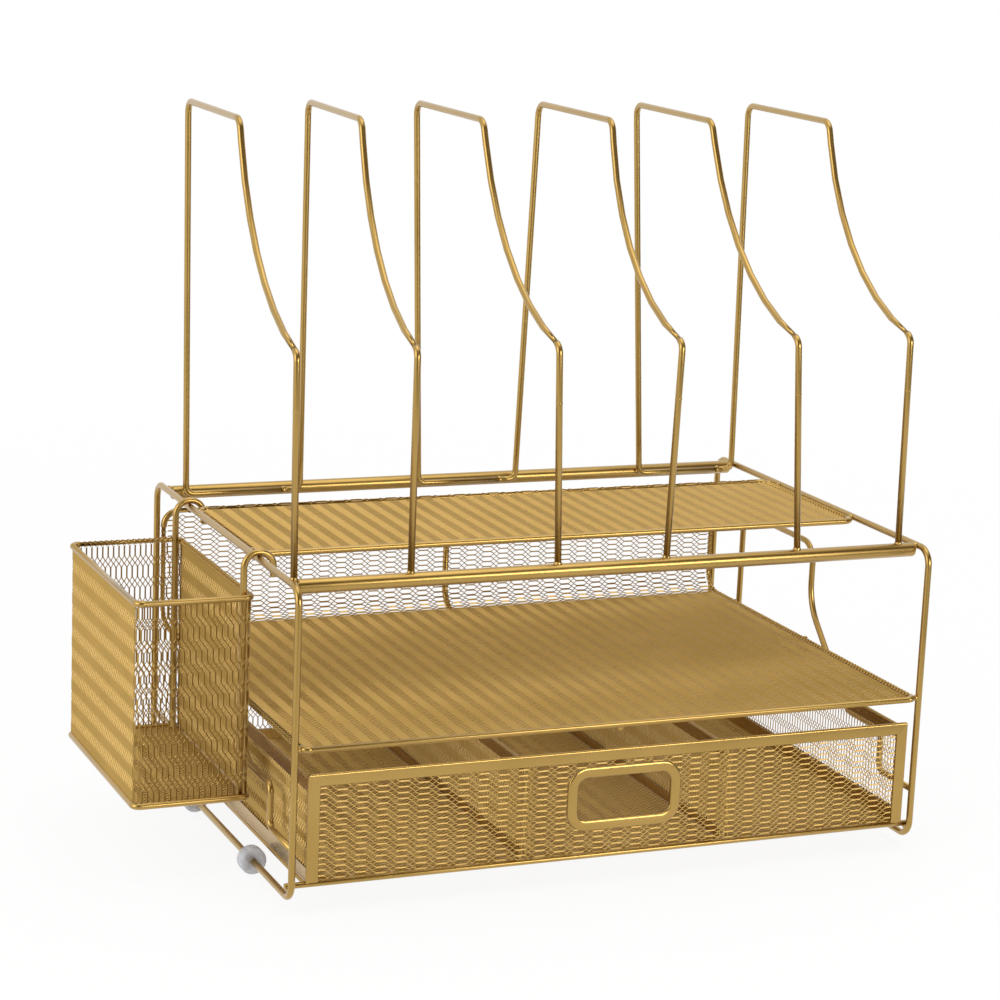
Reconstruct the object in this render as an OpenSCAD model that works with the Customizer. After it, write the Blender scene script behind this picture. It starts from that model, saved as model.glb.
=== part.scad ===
// Envelope sorter of gold wire and fine metal mesh, with a drawer and a basket that hangs
// on the left side. X runs left to right, -Y is the front, Z is up. The origin lies on the
// desk, midway between the two side frames and midway between their legs.

/* [Side frames] */
// Distance between the middle planes of the two side frames
frame_w = 400; // [330:1:480]
// Distance between the front and the rear legs of a side frame
frame_depth = 280; // [260:1:340]
// Height of the frame's top wire over its bottom wire
frame_h = 181; // [175:1:230]
// Diameter of the frame wire
frame_wire_d = 4.1; // [3:0.1:5]
// Bend radius of the frame's four corners, at the middle of the wire
frame_corner_r = 10; // [7:0.5:16]

/* [Rubber feet] */
// Diameter of a sleeve foot
foot_d = 16; // [12:0.5:22]
// Length of a sleeve foot along its wire
foot_len = 10; // [6:0.5:20]
// Rounding of a sleeve's edges
foot_edge_r = 2; // [0.5:0.1:3]
// Depth of the flat that the load presses on a sleeve
foot_flat = 0.25; // [0.1:0.05:0.5]
// Distance of the front pair of feet from the middle
foot_front = 68; // [40:1:110]
// Distance of the rear pair of feet from the middle
foot_rear = 48; // [30:1:110]

/* [Rails] */
// Diameter of the two tubes that join the side frames at the top
rail_d = 8.6; // [6:0.1:12]
// How far the front rail lies behind the front legs
rail_front_inset = 14; // [8:0.5:30]
// How far the rear rail lies in front of the rear legs
rail_rear_inset = 20.5; // [10:0.5:40]

/* [Dividers] */
// Diameter of the divider wire
divider_wire_d = 4; // [2.5:0.1:4.5]
// Distance between the front legs of the two dividers of a pair
pair_width = 69.3; // [50:0.1:80]
// Distance of the left pair's outer leg from the left frame's middle plane
left_pair_inset = 1.5; // [1:0.1:20]
// Distance of the right pair's outer leg from the right frame's middle plane
right_pair_inset = 13.8; // [10:0.1:30]
// Place of the middle pair's middle, to the right of the origin
middle_pair_x = -4.2; // [-10:0.1:10]
// Height over the rail of the corner above the front leg
shoulder_h = 126.7; // [100:0.1:150]
// Bend radius of that corner
shoulder_r = 6; // [4:0.5:12]
// Distance behind the front leg of the corner that the hollow sweep rounds
sweep_back = 90.5; // [80:0.5:100]
// Height over the rail of the corner that the hollow sweep rounds
sweep_h = 144; // [130:0.5:160]
// Radius of the hollow sweep
sweep_r = 149; // [100:1:149]
// Distance of the top run's front corner behind the front leg
top_front_back = 121.5; // [110:0.5:130]
// Height of the top run over the rail
top_h = 242; // [225:1:280]
// Bend radius of the top run's two corners
top_r = 8; // [5:0.5:12]
// Bend radius where a rear leg turns into its foot
foot_bend_r = 5; // [4:0.5:8]
// Distance of a pair's butt weld from its right rear leg
foot_weld_gap = 11; // [8:0.5:20]
// How far each rear leg stands to the right of its front leg
rear_shift = [9.3, 15.5, 6.2, 5.5, 9.4, 9.8]; // [-20:0.1:20]
// How far each top run leans to the right
top_shift = [-2.9, -1.1, -9.9, 5.5, -15.4, -3.1]; // [-20:0.1:20]

/* [Mesh sheets and their rim wires] */
// Thickness of the expanded mesh
mesh_t = 1; // [0.6:0.1:1.4]
// Diameter of the rim wires that the mesh is wrapped round
rim_wire_d = 4; // [2:0.1:4.5]
// Usual distance of the openings that stand for the mesh's gaps, middle to middle
net_pitch = 38; // [36:1:60]
// Share of that distance that an opening takes
net_share = 0.72; // [0.5:0.01:0.8]
// Distance of the upper shelf's front rim from the middle
upper_front = 53.5; // [40:0.5:90]
// Distance of the upper shelf's rear rim from the middle
upper_rear = 64; // [50:0.5:65]
// How far the upper shelf's rim lies below the frame's top wire
upper_drop = 1; // [0:0.1:2]
// Corner radius of the upper shelf's rim
upper_corner_r = 6; // [3:0.5:20]

/* [Letter tray] */
// Height of the tray's shelf over the desk
tray_z = 96.5; // [93:0.5:110]
// How far the tray's front rim stands in front of the front legs
tray_front_proud = 2; // [0:0.1:3]
// How far the tray's back panel stands in front of the rear legs
tray_back_inset = 2; // [0:0.1:10]
// Height of the back panel's top rim over the shelf
tray_back_h = 73.5; // [50:0.5:80]
// Corner radius at the front of the tray's rim
tray_front_r = 4; // [3:0.5:8]
// Radius of the curve between the shelf and the back panel
tray_bend_r = 14; // [6:0.5:20]
// Corner radius at the top of the back panel
tray_top_r = 9; // [5:0.5:25]
// Diameter of the support wire under the shelf
support_wire_d = 4; // [2.5:0.1:5]

/* [Side braces] */
// Diameter of the brace wire
brace_wire_d = 3.9; // [2.5:0.1:4]
// Height of the brace's feet over the desk
brace_foot_z = 38; // [32:1:45]
// Distance of the front drop from the middle
brace_drop_y = 99.5; // [90:0.5:110]
// Height of the low front run over the desk
brace_low_z = 64; // [60:1:75]
// Distance of the low run's end, where the diagonal starts, from the middle
brace_diagonal_y = 56; // [50:0.5:60]
// Height at which the diagonal meets the middle upright
brace_upright_z = 120; // [115:1:125]
// Height of the top run over the desk
brace_top_z = 160; // [155:1:172]
// Distance of the rear upright from the middle
brace_rear_y = 97.5; // [90:0.5:110]
// Bend radius of the two bends of the front drop
brace_small_r = 6; // [4:0.5:8]
// Bend radius where the diagonal leaves the low run
brace_low_r = 20; // [10:1:24]
// Bend radius where the diagonal turns upright
brace_high_r = 35; // [15:1:45]
// Bend radius of the top corners
brace_top_r = 13; // [6:0.5:20]

/* [Drawer bay] */
// Diameter of the crossbars and of the drawer's runners
bar_wire_d = 3.5; // [2.5:0.1:4.5]
// Height of the crossbars and runners over the desk
bar_z = 15.25; // [14:0.25:18]
// How far a crossbar's end reaches past its leg's middle
bar_reach = 3; // [2:0.5:6]
// Distance of a runner from the drawer's wall, middle to middle
runner_inset = 1; // [0:0.1:3]

/* [Drawer] */
// Distance of each end of the drawer's front from its side frame's middle plane
drawer_side_gap = 7.5; // [6:0.5:20]
// Height of the drawer's front
drawer_front_h = 63.7; // [55:0.1:70]
// Length of the drawer, from its front to the back of its rear wall
drawer_len = 262; // [200:1:265]
// How far the drawer's front stands before the front legs' middle
drawer_proud = 3; // [2:0.1:6]
// Distance of a side wall's middle from the end of the front
wall_inset = 2; // [1.2:0.1:4]
// Height of the drawer's walls
wall_h = 62; // [50:0.5:66]
// Width of the flat border on the left, the top and the right of the front's mesh
border_w = 7.3; // [5:0.1:12]
// Height of the hem on top of a wall
top_hem_h = 8; // [5:0.5:12]
// Height of the hem along the bottom of a wall
bottom_hem_h = 9; // [6:0.5:12]
// Height of the hem along the bottom of a partition
partition_hem_h = 6.5; // [4:0.5:10]
// Thickness of the metal strip that is folded into hems
strip_t = 0.6; // [0.4:0.1:0.8]
// Height of the floor and of the front's lower edge over the drawer's lowest edge
floor_lift = 1.3; // [0.3:0.1:2]
// Distance between the two partitions
partition_gap = 128.8; // [100:0.1:150]
// How far the partitions and the handle sit to the right of the middle
drawer_shift = 3.4; // [-5:0.1:5]
// Running clearance between the drawer and its runners
drawer_play = 0.3; // [0.2:0.1:0.5]

/* [Handle] */
// Width of the handle's opening
handle_open_w = 60; // [40:1:90]
// Height of the handle's opening
handle_open_h = 26; // [20:0.5:28]
// Corner radius of the handle's opening
handle_open_r = 6; // [3:0.5:12]
// Width of the bezel ring round the opening
bezel_w = 6.4; // [4:0.1:8]
// Height of the opening's middle over the front's lower edge
handle_h = 33.8; // [32:0.1:36]
// How deep the mesh reaches into the bezel
bezel_bite = 3; // [1:0.5:3.5]
// How far the bezel stands proud of the border, front and back
bezel_proud = 0.3; // [0.1:0.1:0.6]

/* [Hanging basket] */
// Length of the basket along the side, rim middle to rim middle
basket_len = 146; // [100:1:180]
// Width of the basket across the side, rim middle to rim middle
basket_w = 67.8; // [50:1:90]
// Height of the basket, from its bottom wire to its top wire
basket_h = 119.3; // [80:0.1:125]
// How far the basket's top wire hangs below the frame's top wire
basket_drop = 21.35; // [18:0.05:30]
// Corner radius of the basket, at the middle of its rim wires
basket_corner_r = 4.2; // [4:0.1:12]
// Space between the basket and the side frame
basket_play = 0.8; // [0.5:0.1:2]
// Diameter of the two hook wires
hook_wire_d = 4; // [2.5:0.1:4.2]
// Distance of a hook from the bend at its corner of the basket
hook_corner_gap = 0.2; // [0:0.1:20]
// How far a hook's tip reaches below the frame's top wire
hook_tip_drop = 10.75; // [6:0.25:15]

/* [Hidden] */
$fn = 48;
// Sides of a bent wire's section, and the largest turn between two of its rings
wire_sides = 10;
ring_step = 15;
// Points along a quarter of a rounded corner
corner_steps = 6;
// Amount by which a cut reaches past the piece that it cuts
past = 1;

// Side frames
frame_bottom_z = foot_d / 2 - foot_flat;
frame_top_z = frame_bottom_z + frame_h;
frame_inner_x = frame_w / 2 - frame_wire_d / 2;

// Rails: their crowns are level with the tops of the side frames
rail_z = frame_top_z + frame_wire_d / 2 - rail_d / 2;
rail_crown_z = rail_z + rail_d / 2;
rail_front_y = -frame_depth / 2 + rail_front_inset;
rail_rear_y = frame_depth / 2 - rail_rear_inset;

// Dividers: the rear legs and feet lie against the front of the rear rail
divider_rear_y = rail_rear_y - rail_d / 2 - divider_wire_d / 2;
divider_depth = divider_rear_y - rail_front_y;
divider_x = [
    -frame_w / 2 + left_pair_inset,
    -frame_w / 2 + left_pair_inset + pair_width,
    middle_pair_x - pair_width / 2,
    middle_pair_x + pair_width / 2,
    frame_w / 2 - right_pair_inset - pair_width,
    frame_w / 2 - right_pair_inset
];

// Upper shelf: its rim rests against the inner sides of the frames' top wires
upper_z = frame_top_z - upper_drop;
upper_x = frame_w / 2 - sqrt(pow((frame_wire_d + rim_wire_d) / 2, 2) - pow(upper_drop, 2));

// Letter tray: its rim lies against the inner sides of the frames
tray_x = frame_inner_x - rim_wire_d / 2;
tray_front_y = -frame_depth / 2 - tray_front_proud;
tray_back_y = frame_depth / 2 - tray_back_inset;
tray_top_z = tray_z + tray_back_h;

// Crossbars: they lie behind the front legs, against the lower corner bends
bar_touch = (frame_wire_d + bar_wire_d) / 2;
bar_below_bend = max(0, frame_bottom_z + frame_corner_r - bar_z);
bar_y = frame_depth / 2 - frame_corner_r
    + sqrt(pow(frame_corner_r - bar_touch, 2) - pow(bar_below_bend, 2));

// Drawer
hem_t = mesh_t + 2 * strip_t;
drawer_w = frame_w - 2 * drawer_side_gap;
drawer_bottom_z = bar_z + bar_wire_d / 2 + drawer_play;
drawer_top_z = drawer_bottom_z + wall_h;
floor_bottom_z = drawer_bottom_z + floor_lift;
floor_top_z = floor_bottom_z + mesh_t;
front_y = -frame_depth / 2 - drawer_proud;
front_mesh_y = front_y + hem_t / 2;
wall_x = drawer_w / 2 - wall_inset;
wall_front_y = front_y + hem_t;
drawer_rear_y = front_y + drawer_len;
rear_wall_y = drawer_rear_y - hem_t / 2;
front_gap_w = drawer_w - 2 * border_w;
inner_w = 2 * wall_x - hem_t;
inner_len = drawer_rear_y - hem_t - wall_front_y;
runner_x = wall_x - runner_inset;
handle_z = floor_bottom_z + handle_h;

// Hanging basket: its hooks rest on the left frame's top wire
basket_top_z = frame_top_z - basket_drop;
basket_bottom_z = basket_top_z - basket_h;
basket_near_x = -frame_w / 2 - frame_wire_d / 2 - basket_play - rim_wire_d / 2;
basket_x = basket_near_x - basket_w / 2;
hook_far_x = basket_near_x - rim_wire_d / 2 - hook_wire_d / 2;
hook_y = basket_len / 2 - basket_corner_r - hook_corner_gap;
hook_arch_r = -frame_w / 2 - hook_far_x;
hook_crown_z = frame_top_z + frame_wire_d / 2 + hook_wire_d / 2;

GOLD = [0.74, 0.6, 0.3];
MESH_GOLD = [0.82, 0.69, 0.4];
RUBBER = [0.84, 0.85, 0.83];

// Vector of length 1 along v
function unit(v) = v / norm(v);

// Angle between two directions
function angle_between(u, v) = acos(max(-1, min(1, unit(u) * unit(v))));

// Points of the round bend that replaces corner b between points a and c
function bend_points(a, b, c, r) = let (
    u = unit(b - a),
    v = unit(c - b),
    turn = angle_between(u, v),
    start = b - u * r * tan(turn / 2),
    inward = unit(v - u * (u * v)),
    steps = max(1, ceil(turn / ring_step))
) [for (k = [0:steps]) start + r * (u * sin(turn * k / steps) + inward * (1 - cos(turn * k / steps)))];

// Points of a path without those that repeat the point before them
function distinct(path) = [
    for (i = [0:len(path) - 1])
        if (i == 0 || norm(path[i] - path[i - 1]) > 0.01) path[i]
];

// Middle line of a wire through corner points, with one bend radius for each corner
function wire_path(corners, radii, closed) = let (n = len(corners)) distinct([
    for (i = [0:n - 1])
        each (!closed && (i == 0 || i == n - 1))
            ? [corners[i]]
            : bend_points(corners[(i + n - 1) % n], corners[i], corners[(i + 1) % n], radii[i])
]);

// Direction of the middle line at its point i
function path_direction(path, i, closed) = let (
    n = len(path),
    before = closed ? path[(i + n - 1) % n] : path[max(0, i - 1)],
    after = closed ? path[(i + 1) % n] : path[min(n - 1, i + 1)],
    into = i == 0 && !closed ? after - path[i] : path[i] - before,
    out = i == n - 1 && !closed ? path[i] - before : after - path[i]
) unit(unit(into) + unit(out));

// Part of side that is square to direction
function squared(side, direction) = unit(side - direction * (side * direction));

// Wire of round section, bent at its corner points
module bent_wire(corners, radii, d, closed = false) {
    path = wire_path(corners, radii, closed);
    n = len(path);
    directions = [for (i = [0:n - 1]) path_direction(path, i, closed)];
    first = abs(directions[0].x) < 0.9 ? [1, 0, 0] : [0, 1, 0];
    sides = [
        for (i = 0, side = squared(first, directions[0]);
             i < n;
             i = i + 1, side = i < n ? squared(side, directions[i]) : side)
            side
    ];
    rings = [for (i = [0:n - 1], k = [0:wire_sides - 1])
        path[i] + d / 2 * (sides[i] * cos(360 * k / wire_sides)
            + cross(directions[i], sides[i]) * sin(360 * k / wire_sides))];
    // Number of points by which a closed wire's last ring is turned against its first
    misses = [for (k = [0:wire_sides - 1]) norm(unit(rings[(n - 1) * wire_sides] - path[n - 1])
        - unit(rings[k] - path[0]))];
    shift = closed ? search(min(misses), misses)[0] : 0;
    last = closed ? n - 1 : n - 2;
    walls = [for (i = [0:last], k = [0:wire_sides - 1]) let (
        next_k = (k + 1) % wire_sides,
        ahead = (i + 1) % n,
        turn = i == n - 1 ? shift : 0
    ) each [
        [i * wire_sides + next_k, i * wire_sides + k, ahead * wire_sides + (k + turn) % wire_sides],
        [i * wire_sides + next_k, ahead * wire_sides + (k + turn) % wire_sides,
            ahead * wire_sides + (next_k + turn) % wire_sides]
    ]];
    caps = closed ? [] : [
        [for (k = [0:wire_sides - 1]) k],
        [for (k = [wire_sides - 1:-1:0]) (n - 1) * wire_sides + k]
    ];
    polyhedron(rings, concat(walls, caps));
}

// Straight wire or tube along X, Y or Z from its lowest point
module straight_x(length, d) {
    rotate([0, 90, 0]) cylinder(h = length, d = d);
}

module straight_y(length, d) {
    rotate([-90, 0, 0]) cylinder(h = length, d = d);
}

// Flat wire loop round the middle of the XY plane, w by h between wire middles
module wire_loop(w, h, r, d) {
    for (side = [-1, 1]) {
        translate([-w / 2 + r, side * h / 2, 0]) straight_x(w - 2 * r, d);
        translate([side * w / 2, -h / 2 + r, 0]) straight_y(h - 2 * r, d);
    }
    for (quarter = [[1, 1, 0], [-1, 1, 90], [-1, -1, 180], [1, -1, 270]])
        translate([quarter[0] * (w / 2 - r), quarter[1] * (h / 2 - r), 0])
            rotate(quarter[2]) rotate_extrude(angle = 90) translate([r, 0]) circle(d = d);
}

// Outline of a rectangle round the origin with corners of radius r
function round_box(w, h, r) = [
    for (quarter = [[1, 1, 0], [-1, 1, 90], [-1, -1, 180], [1, -1, 270]], k = [0:corner_steps])
        [quarter[0] * (w / 2 - r) + r * cos(quarter[2] + 90 * k / corner_steps),
            quarter[1] * (h / 2 - r) + r * sin(quarter[2] + 90 * k / corner_steps)]
];

// Upright sheet in the XZ plane, t thick, with its middle in the plane y = 0
module upright_sheet(t) {
    rotate([90, 0, 0]) translate([0, 0, -t / 2]) linear_extrude(t) children();
}

// Openings that stand for the gaps of a w by h piece of mesh, in an even grid round the middle
module net_gaps(w, h) {
    across = max(1, round(w / net_pitch));
    up = max(1, round(h / net_pitch));
    for (i = [0:across - 1], j = [0:up - 1])
        translate([(i + 0.5) * w / across - w / 2, (j + 0.5) * h / up - h / 2])
            square([net_share * w / across, net_share * h / up], center = true);
}

// Strip of sheet folded over a mesh edge: a channel along X, open towards +Z or -Z
module folded_hem(length, h, opening) {
    difference() {
        translate([-length / 2, -hem_t / 2, 0]) cube([length, hem_t, h]);
        translate([-length / 2 - past, -mesh_t / 2, opening > 0 ? strip_t : -past])
            cube([length + 2 * past, mesh_t, h - strip_t + past]);
    }
}

// Side frames: rounded rectangles of wire that stand on edge
module side_frame(side) {
    color(GOLD) translate([side * frame_w / 2, 0, (frame_bottom_z + frame_top_z) / 2])
        rotate([90, 0, 90]) wire_loop(frame_depth, frame_h, frame_corner_r, frame_wire_d);
}

module side_frame_left() {
    side_frame(-1);
}

module side_frame_right() {
    side_frame(1);
}

// Rubber feet: sleeves on the frames' bottom wires, pressed slightly flat underneath
module sleeve_foot(side, y) {
    edge = foot_edge_r;
    outline = concat(
        [[frame_wire_d / 2, -foot_len / 2]],
        [for (k = [0:corner_steps])
            [foot_d / 2 - edge + edge * sin(90 * k / corner_steps),
                -foot_len / 2 + edge - edge * cos(90 * k / corner_steps)]],
        [for (k = [0:corner_steps])
            [foot_d / 2 - edge + edge * cos(90 * k / corner_steps),
                foot_len / 2 - edge + edge * sin(90 * k / corner_steps)]],
        [[frame_wire_d / 2, foot_len / 2]]
    );
    color(RUBBER) difference() {
        translate([side * frame_w / 2, y, frame_bottom_z])
            rotate([-90, 0, 0]) rotate_extrude() polygon(outline);
        translate([side * frame_w / 2 - foot_d, y - foot_len, -foot_d])
            cube([2 * foot_d, 2 * foot_len, foot_d]);
    }
}

module foot_front_left() {
    sleeve_foot(-1, -foot_front);
}

module foot_front_right() {
    sleeve_foot(1, -foot_front);
}

module foot_rear_left() {
    sleeve_foot(-1, foot_rear);
}

module foot_rear_right() {
    sleeve_foot(1, foot_rear);
}

// Rails: tubes with closed ends between the side frames
module rail(y) {
    color(GOLD) translate([-frame_inner_x, y, rail_z]) straight_x(2 * frame_inner_x, rail_d);
}

module front_rail() {
    rail(rail_front_y);
}

module rear_rail() {
    rail(rail_rear_y);
}

// Point of divider i, a distance back from its front leg and a height over the rail
function divider_point(i, back, height) = [
    divider_x[i] + rear_shift[i] * back / divider_depth + top_shift[i] * height / top_h,
    rail_front_y + back,
    rail_crown_z + height
];

// Dividers: each stands on the front rail, and its rear foot lies along the rear rail up to
// the butt weld that joins the two wires of a pair
module divider(i) {
    right_one = i % 2 == 1 ? i : i + 1;
    foot_corner = divider_point(i, divider_depth, rail_z - rail_crown_z);
    weld_x = divider_point(right_one, divider_depth, 0).x - foot_weld_gap;
    color(GOLD) bent_wire(
        [
            divider_point(i, 0, 0),
            divider_point(i, 0, shoulder_h),
            divider_point(i, sweep_back, sweep_h),
            divider_point(i, top_front_back, top_h),
            divider_point(i, divider_depth, top_h),
            foot_corner,
            [weld_x, foot_corner.y, foot_corner.z]
        ],
        [0, shoulder_r, sweep_r, top_r, top_r, foot_bend_r, 0],
        divider_wire_d
    );
}

module divider_1() {
    divider(0);
}

module divider_2() {
    divider(1);
}

module divider_3() {
    divider(2);
}

module divider_4() {
    divider(3);
}

module divider_5() {
    divider(4);
}

module divider_6() {
    divider(5);
}

// Upper shelf: a flat mesh sheet inside a rim of wire
module upper_shelf_rim() {
    color(GOLD) translate([0, (upper_rear - upper_front) / 2, upper_z])
        wire_loop(2 * upper_x, upper_front + upper_rear, upper_corner_r, rim_wire_d);
}

module upper_shelf_mesh() {
    color(MESH_GOLD) translate([0, (upper_rear - upper_front) / 2, upper_z - mesh_t / 2])
        linear_extrude(mesh_t) difference() {
            polygon(round_box(2 * upper_x - rim_wire_d, upper_front + upper_rear - rim_wire_d,
                upper_corner_r - rim_wire_d / 2));
            net_gaps(2 * upper_x - rim_wire_d, upper_front + upper_rear - rim_wire_d);
        }
}

// Letter tray: one mesh sheet that is the shelf and curves up into the back panel, with one
// rim wire all round
module tray_rim() {
    color(GOLD) bent_wire(
        [
            [-tray_x, tray_front_y, tray_z],
            [tray_x, tray_front_y, tray_z],
            [tray_x, tray_back_y, tray_z],
            [tray_x, tray_back_y, tray_top_z],
            [-tray_x, tray_back_y, tray_top_z],
            [-tray_x, tray_back_y, tray_z]
        ],
        [tray_front_r, tray_front_r, tray_bend_r, tray_top_r, tray_top_r, tray_bend_r],
        rim_wire_d,
        closed = true
    );
}

// Waste outside a round corner of radius r, whose square corner lies at the origin and whose
// sheet fills the quarter of +X and +Y
module corner_waste(r) {
    polygon(concat(
        [[-past, -past], [r, -past], [r, 0]],
        [for (k = [1:corner_steps - 1])
            [r - r * sin(90 * k / corner_steps), r - r * cos(90 * k / corner_steps)]],
        [[0, r], [-past, r]]
    ));
}

module tray_mesh() {
    half_w = tray_x - rim_wire_d / 2;
    front_y = tray_front_y + rim_wire_d / 2;
    top_z = tray_top_z - rim_wire_d / 2;
    bend_y = tray_back_y - tray_bend_r;
    bend_z = tray_z + tray_bend_r;
    outer_r = tray_bend_r + mesh_t / 2;
    inner_r = tray_bend_r - mesh_t / 2;
    profile = concat(
        [[front_y, tray_z - mesh_t / 2]],
        [for (k = [0:corner_steps])
            [bend_y + outer_r * sin(90 * k / corner_steps), bend_z - outer_r * cos(90 * k / corner_steps)]],
        [[tray_back_y + mesh_t / 2, top_z], [tray_back_y - mesh_t / 2, top_z]],
        [for (k = [corner_steps:-1:0])
            [bend_y + inner_r * sin(90 * k / corner_steps), bend_z - inner_r * cos(90 * k / corner_steps)]],
        [[front_y, tray_z + mesh_t / 2]]
    );
    color(MESH_GOLD) difference() {
        translate([-half_w, 0, 0]) rotate([90, 0, 90]) linear_extrude(2 * half_w) polygon(profile);
        for (side = [0, 1]) mirror([side, 0, 0]) {
            translate([-half_w, front_y, tray_z - mesh_t]) linear_extrude(2 * mesh_t)
                corner_waste(tray_front_r - rim_wire_d / 2);
            translate([-half_w, tray_back_y - mesh_t, top_z]) rotate([-90, 0, 0])
                linear_extrude(2 * mesh_t) corner_waste(tray_top_r - rim_wire_d / 2);
        }
        translate([0, (front_y + bend_y) / 2, tray_z - mesh_t]) linear_extrude(2 * mesh_t)
            net_gaps(2 * half_w, bend_y - front_y);
        translate([0, tray_back_y, (bend_z + top_z) / 2]) upright_sheet(2 * mesh_t)
            net_gaps(2 * half_w, top_z - bend_z);
    }
}

// Support wire: down behind the back panel and forward under the shelf, in the middle
module tray_support_wire() {
    off_sheet = (mesh_t + support_wire_d) / 2;
    color(GOLD) bent_wire(
        [
            [0, tray_front_y + rim_wire_d / 2, tray_z - off_sheet],
            [0, tray_back_y + off_sheet, tray_z - off_sheet],
            [0, tray_back_y + off_sheet, tray_top_z - rim_wire_d / 2]
        ],
        [0, tray_bend_r + off_sheet, 0],
        support_wire_d
    );
}

// Side braces: a bent wire in the plane of each side frame, welded to its front and rear legs
module side_brace(side) {
    leg_y = frame_depth / 2 - frame_wire_d / 2;
    color(GOLD) translate([side * frame_w / 2, 0, 0]) bent_wire(
        [
            [0, -leg_y, brace_foot_z],
            [0, -brace_drop_y, brace_foot_z],
            [0, -brace_drop_y, brace_low_z],
            [0, -brace_diagonal_y, brace_low_z],
            [0, 0, brace_upright_z],
            [0, 0, brace_top_z],
            [0, brace_rear_y, brace_top_z],
            [0, brace_rear_y, brace_foot_z],
            [0, leg_y, brace_foot_z]
        ],
        [0, brace_small_r, brace_small_r, brace_low_r, brace_high_r, brace_top_r, brace_top_r,
            brace_small_r, 0],
        brace_wire_d
    );
}

module side_brace_left() {
    side_brace(-1);
}

module side_brace_right() {
    side_brace(1);
}

// Crossbars: straight wires behind the front legs and before the rear legs
module crossbar(y) {
    color(GOLD) translate([-frame_w / 2 - bar_reach, y, bar_z]) straight_x(frame_w + 2 * bar_reach, bar_wire_d);
}

module front_crossbar() {
    crossbar(-bar_y);
}

module rear_crossbar() {
    crossbar(bar_y);
}

// Runners: straight wires between the crossbars, under the drawer's side walls
module drawer_runner(side) {
    run = bar_y - bar_wire_d / 2;
    color(GOLD) translate([side * runner_x, -run, bar_z]) straight_y(2 * run, bar_wire_d);
}

module drawer_runner_left() {
    drawer_runner(-1);
}

module drawer_runner_right() {
    drawer_runner(1);
}

// Drawer front: mesh with a folded border on three sides and an opening for the fingers
module drawer_front_border() {
    color(GOLD) translate([0, front_mesh_y, floor_bottom_z]) difference() {
        upright_sheet(hem_t) difference() {
            translate([-drawer_w / 2, 0]) square([drawer_w, drawer_front_h]);
            translate([-front_gap_w / 2, -past]) square([front_gap_w, drawer_front_h - border_w + past]);
        }
        upright_sheet(mesh_t) translate([strip_t - drawer_w / 2, -past])
            square([drawer_w - 2 * strip_t, drawer_front_h - strip_t + past]);
    }
}

// The front's mesh turns back to the floor along its lower edge
module drawer_front_mesh() {
    net_h = drawer_front_h - border_w - mesh_t;
    color(MESH_GOLD) translate([0, front_mesh_y, floor_bottom_z]) union() {
        upright_sheet(mesh_t) difference() {
            translate([strip_t - drawer_w / 2, 0])
                square([drawer_w - 2 * strip_t, drawer_front_h - strip_t]);
            translate([drawer_shift, handle_h]) polygon(handle_outline(bezel_w - bezel_bite));
            for (side = [-1, 1]) {
                bezel_x = drawer_shift + side * (handle_open_w / 2 + bezel_w);
                border_x = side * front_gap_w / 2;
                translate([(bezel_x + border_x) / 2, mesh_t + net_h / 2])
                    net_gaps(abs(border_x - bezel_x), net_h);
            }
        }
        translate([-front_gap_w / 2, 0, 0]) cube([front_gap_w, hem_t / 2, mesh_t]);
    }
}

// Outline of the handle's opening, grown by a margin
function handle_outline(margin) = round_box(handle_open_w + 2 * margin, handle_open_h + 2 * margin,
    handle_open_r + margin);

module handle_bezel() {
    color(GOLD) translate([drawer_shift, front_mesh_y, handle_z]) difference() {
        upright_sheet(hem_t + 2 * bezel_proud) difference() {
            polygon(handle_outline(bezel_w));
            polygon(handle_outline(0));
        }
        upright_sheet(mesh_t) difference() {
            polygon(handle_outline(bezel_w + past));
            polygon(handle_outline(bezel_w - bezel_bite));
        }
    }
}

// Drawer floor: mesh between the walls
module drawer_floor_mesh() {
    color(MESH_GOLD) translate([0, wall_front_y + inner_len / 2, floor_bottom_z])
        linear_extrude(mesh_t) difference() {
            square([inner_w, inner_len], center = true);
            net_gaps(inner_w, inner_len);
        }
}

// Upright mesh sheet along Y from the drawer's front, with its edges inside hems
module mesh_wall(x, length, low_z, low_hem_h) {
    low_gap = low_hem_h - strip_t;
    high_gap = top_hem_h - strip_t;
    h = drawer_top_z - low_z - 2 * strip_t;
    color(MESH_GOLD) translate([x, wall_front_y + length / 2, low_z + strip_t + h / 2])
        rotate([90, 0, 90]) translate([0, 0, -mesh_t / 2]) linear_extrude(mesh_t) difference() {
            square([length, h], center = true);
            translate([0, (low_gap - high_gap) / 2]) net_gaps(length, h - low_gap - high_gap);
        }
}

// Drawer side and rear walls: mesh sheets whose edges sit inside folded hems
module drawer_side_mesh(side) {
    mesh_wall(side * wall_x, drawer_len - hem_t, drawer_bottom_z, bottom_hem_h);
}

module drawer_side_mesh_left() {
    drawer_side_mesh(-1);
}

module drawer_side_mesh_right() {
    drawer_side_mesh(1);
}

module drawer_rear_mesh() {
    color(MESH_GOLD) translate([0, rear_wall_y, drawer_bottom_z + wall_h / 2])
        upright_sheet(mesh_t) difference() {
            square([inner_w, wall_h - 2 * strip_t], center = true);
            translate([0, (bottom_hem_h - top_hem_h) / 2])
                net_gaps(inner_w, wall_h - top_hem_h - bottom_hem_h);
        }
}

// One hem along the left, the right and the rear wall, in three lengths
module wall_hems(z, h, opening) {
    side_len = drawer_len - hem_t;
    color(GOLD) translate([0, 0, z]) {
        for (side = [-1, 1])
            translate([side * wall_x, wall_front_y + side_len / 2, 0])
                rotate(90) folded_hem(side_len, h, opening);
        translate([0, rear_wall_y, 0]) folded_hem(inner_w, h, opening);
    }
}

module drawer_top_hem() {
    wall_hems(drawer_top_z - top_hem_h, top_hem_h, -1);
}

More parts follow.
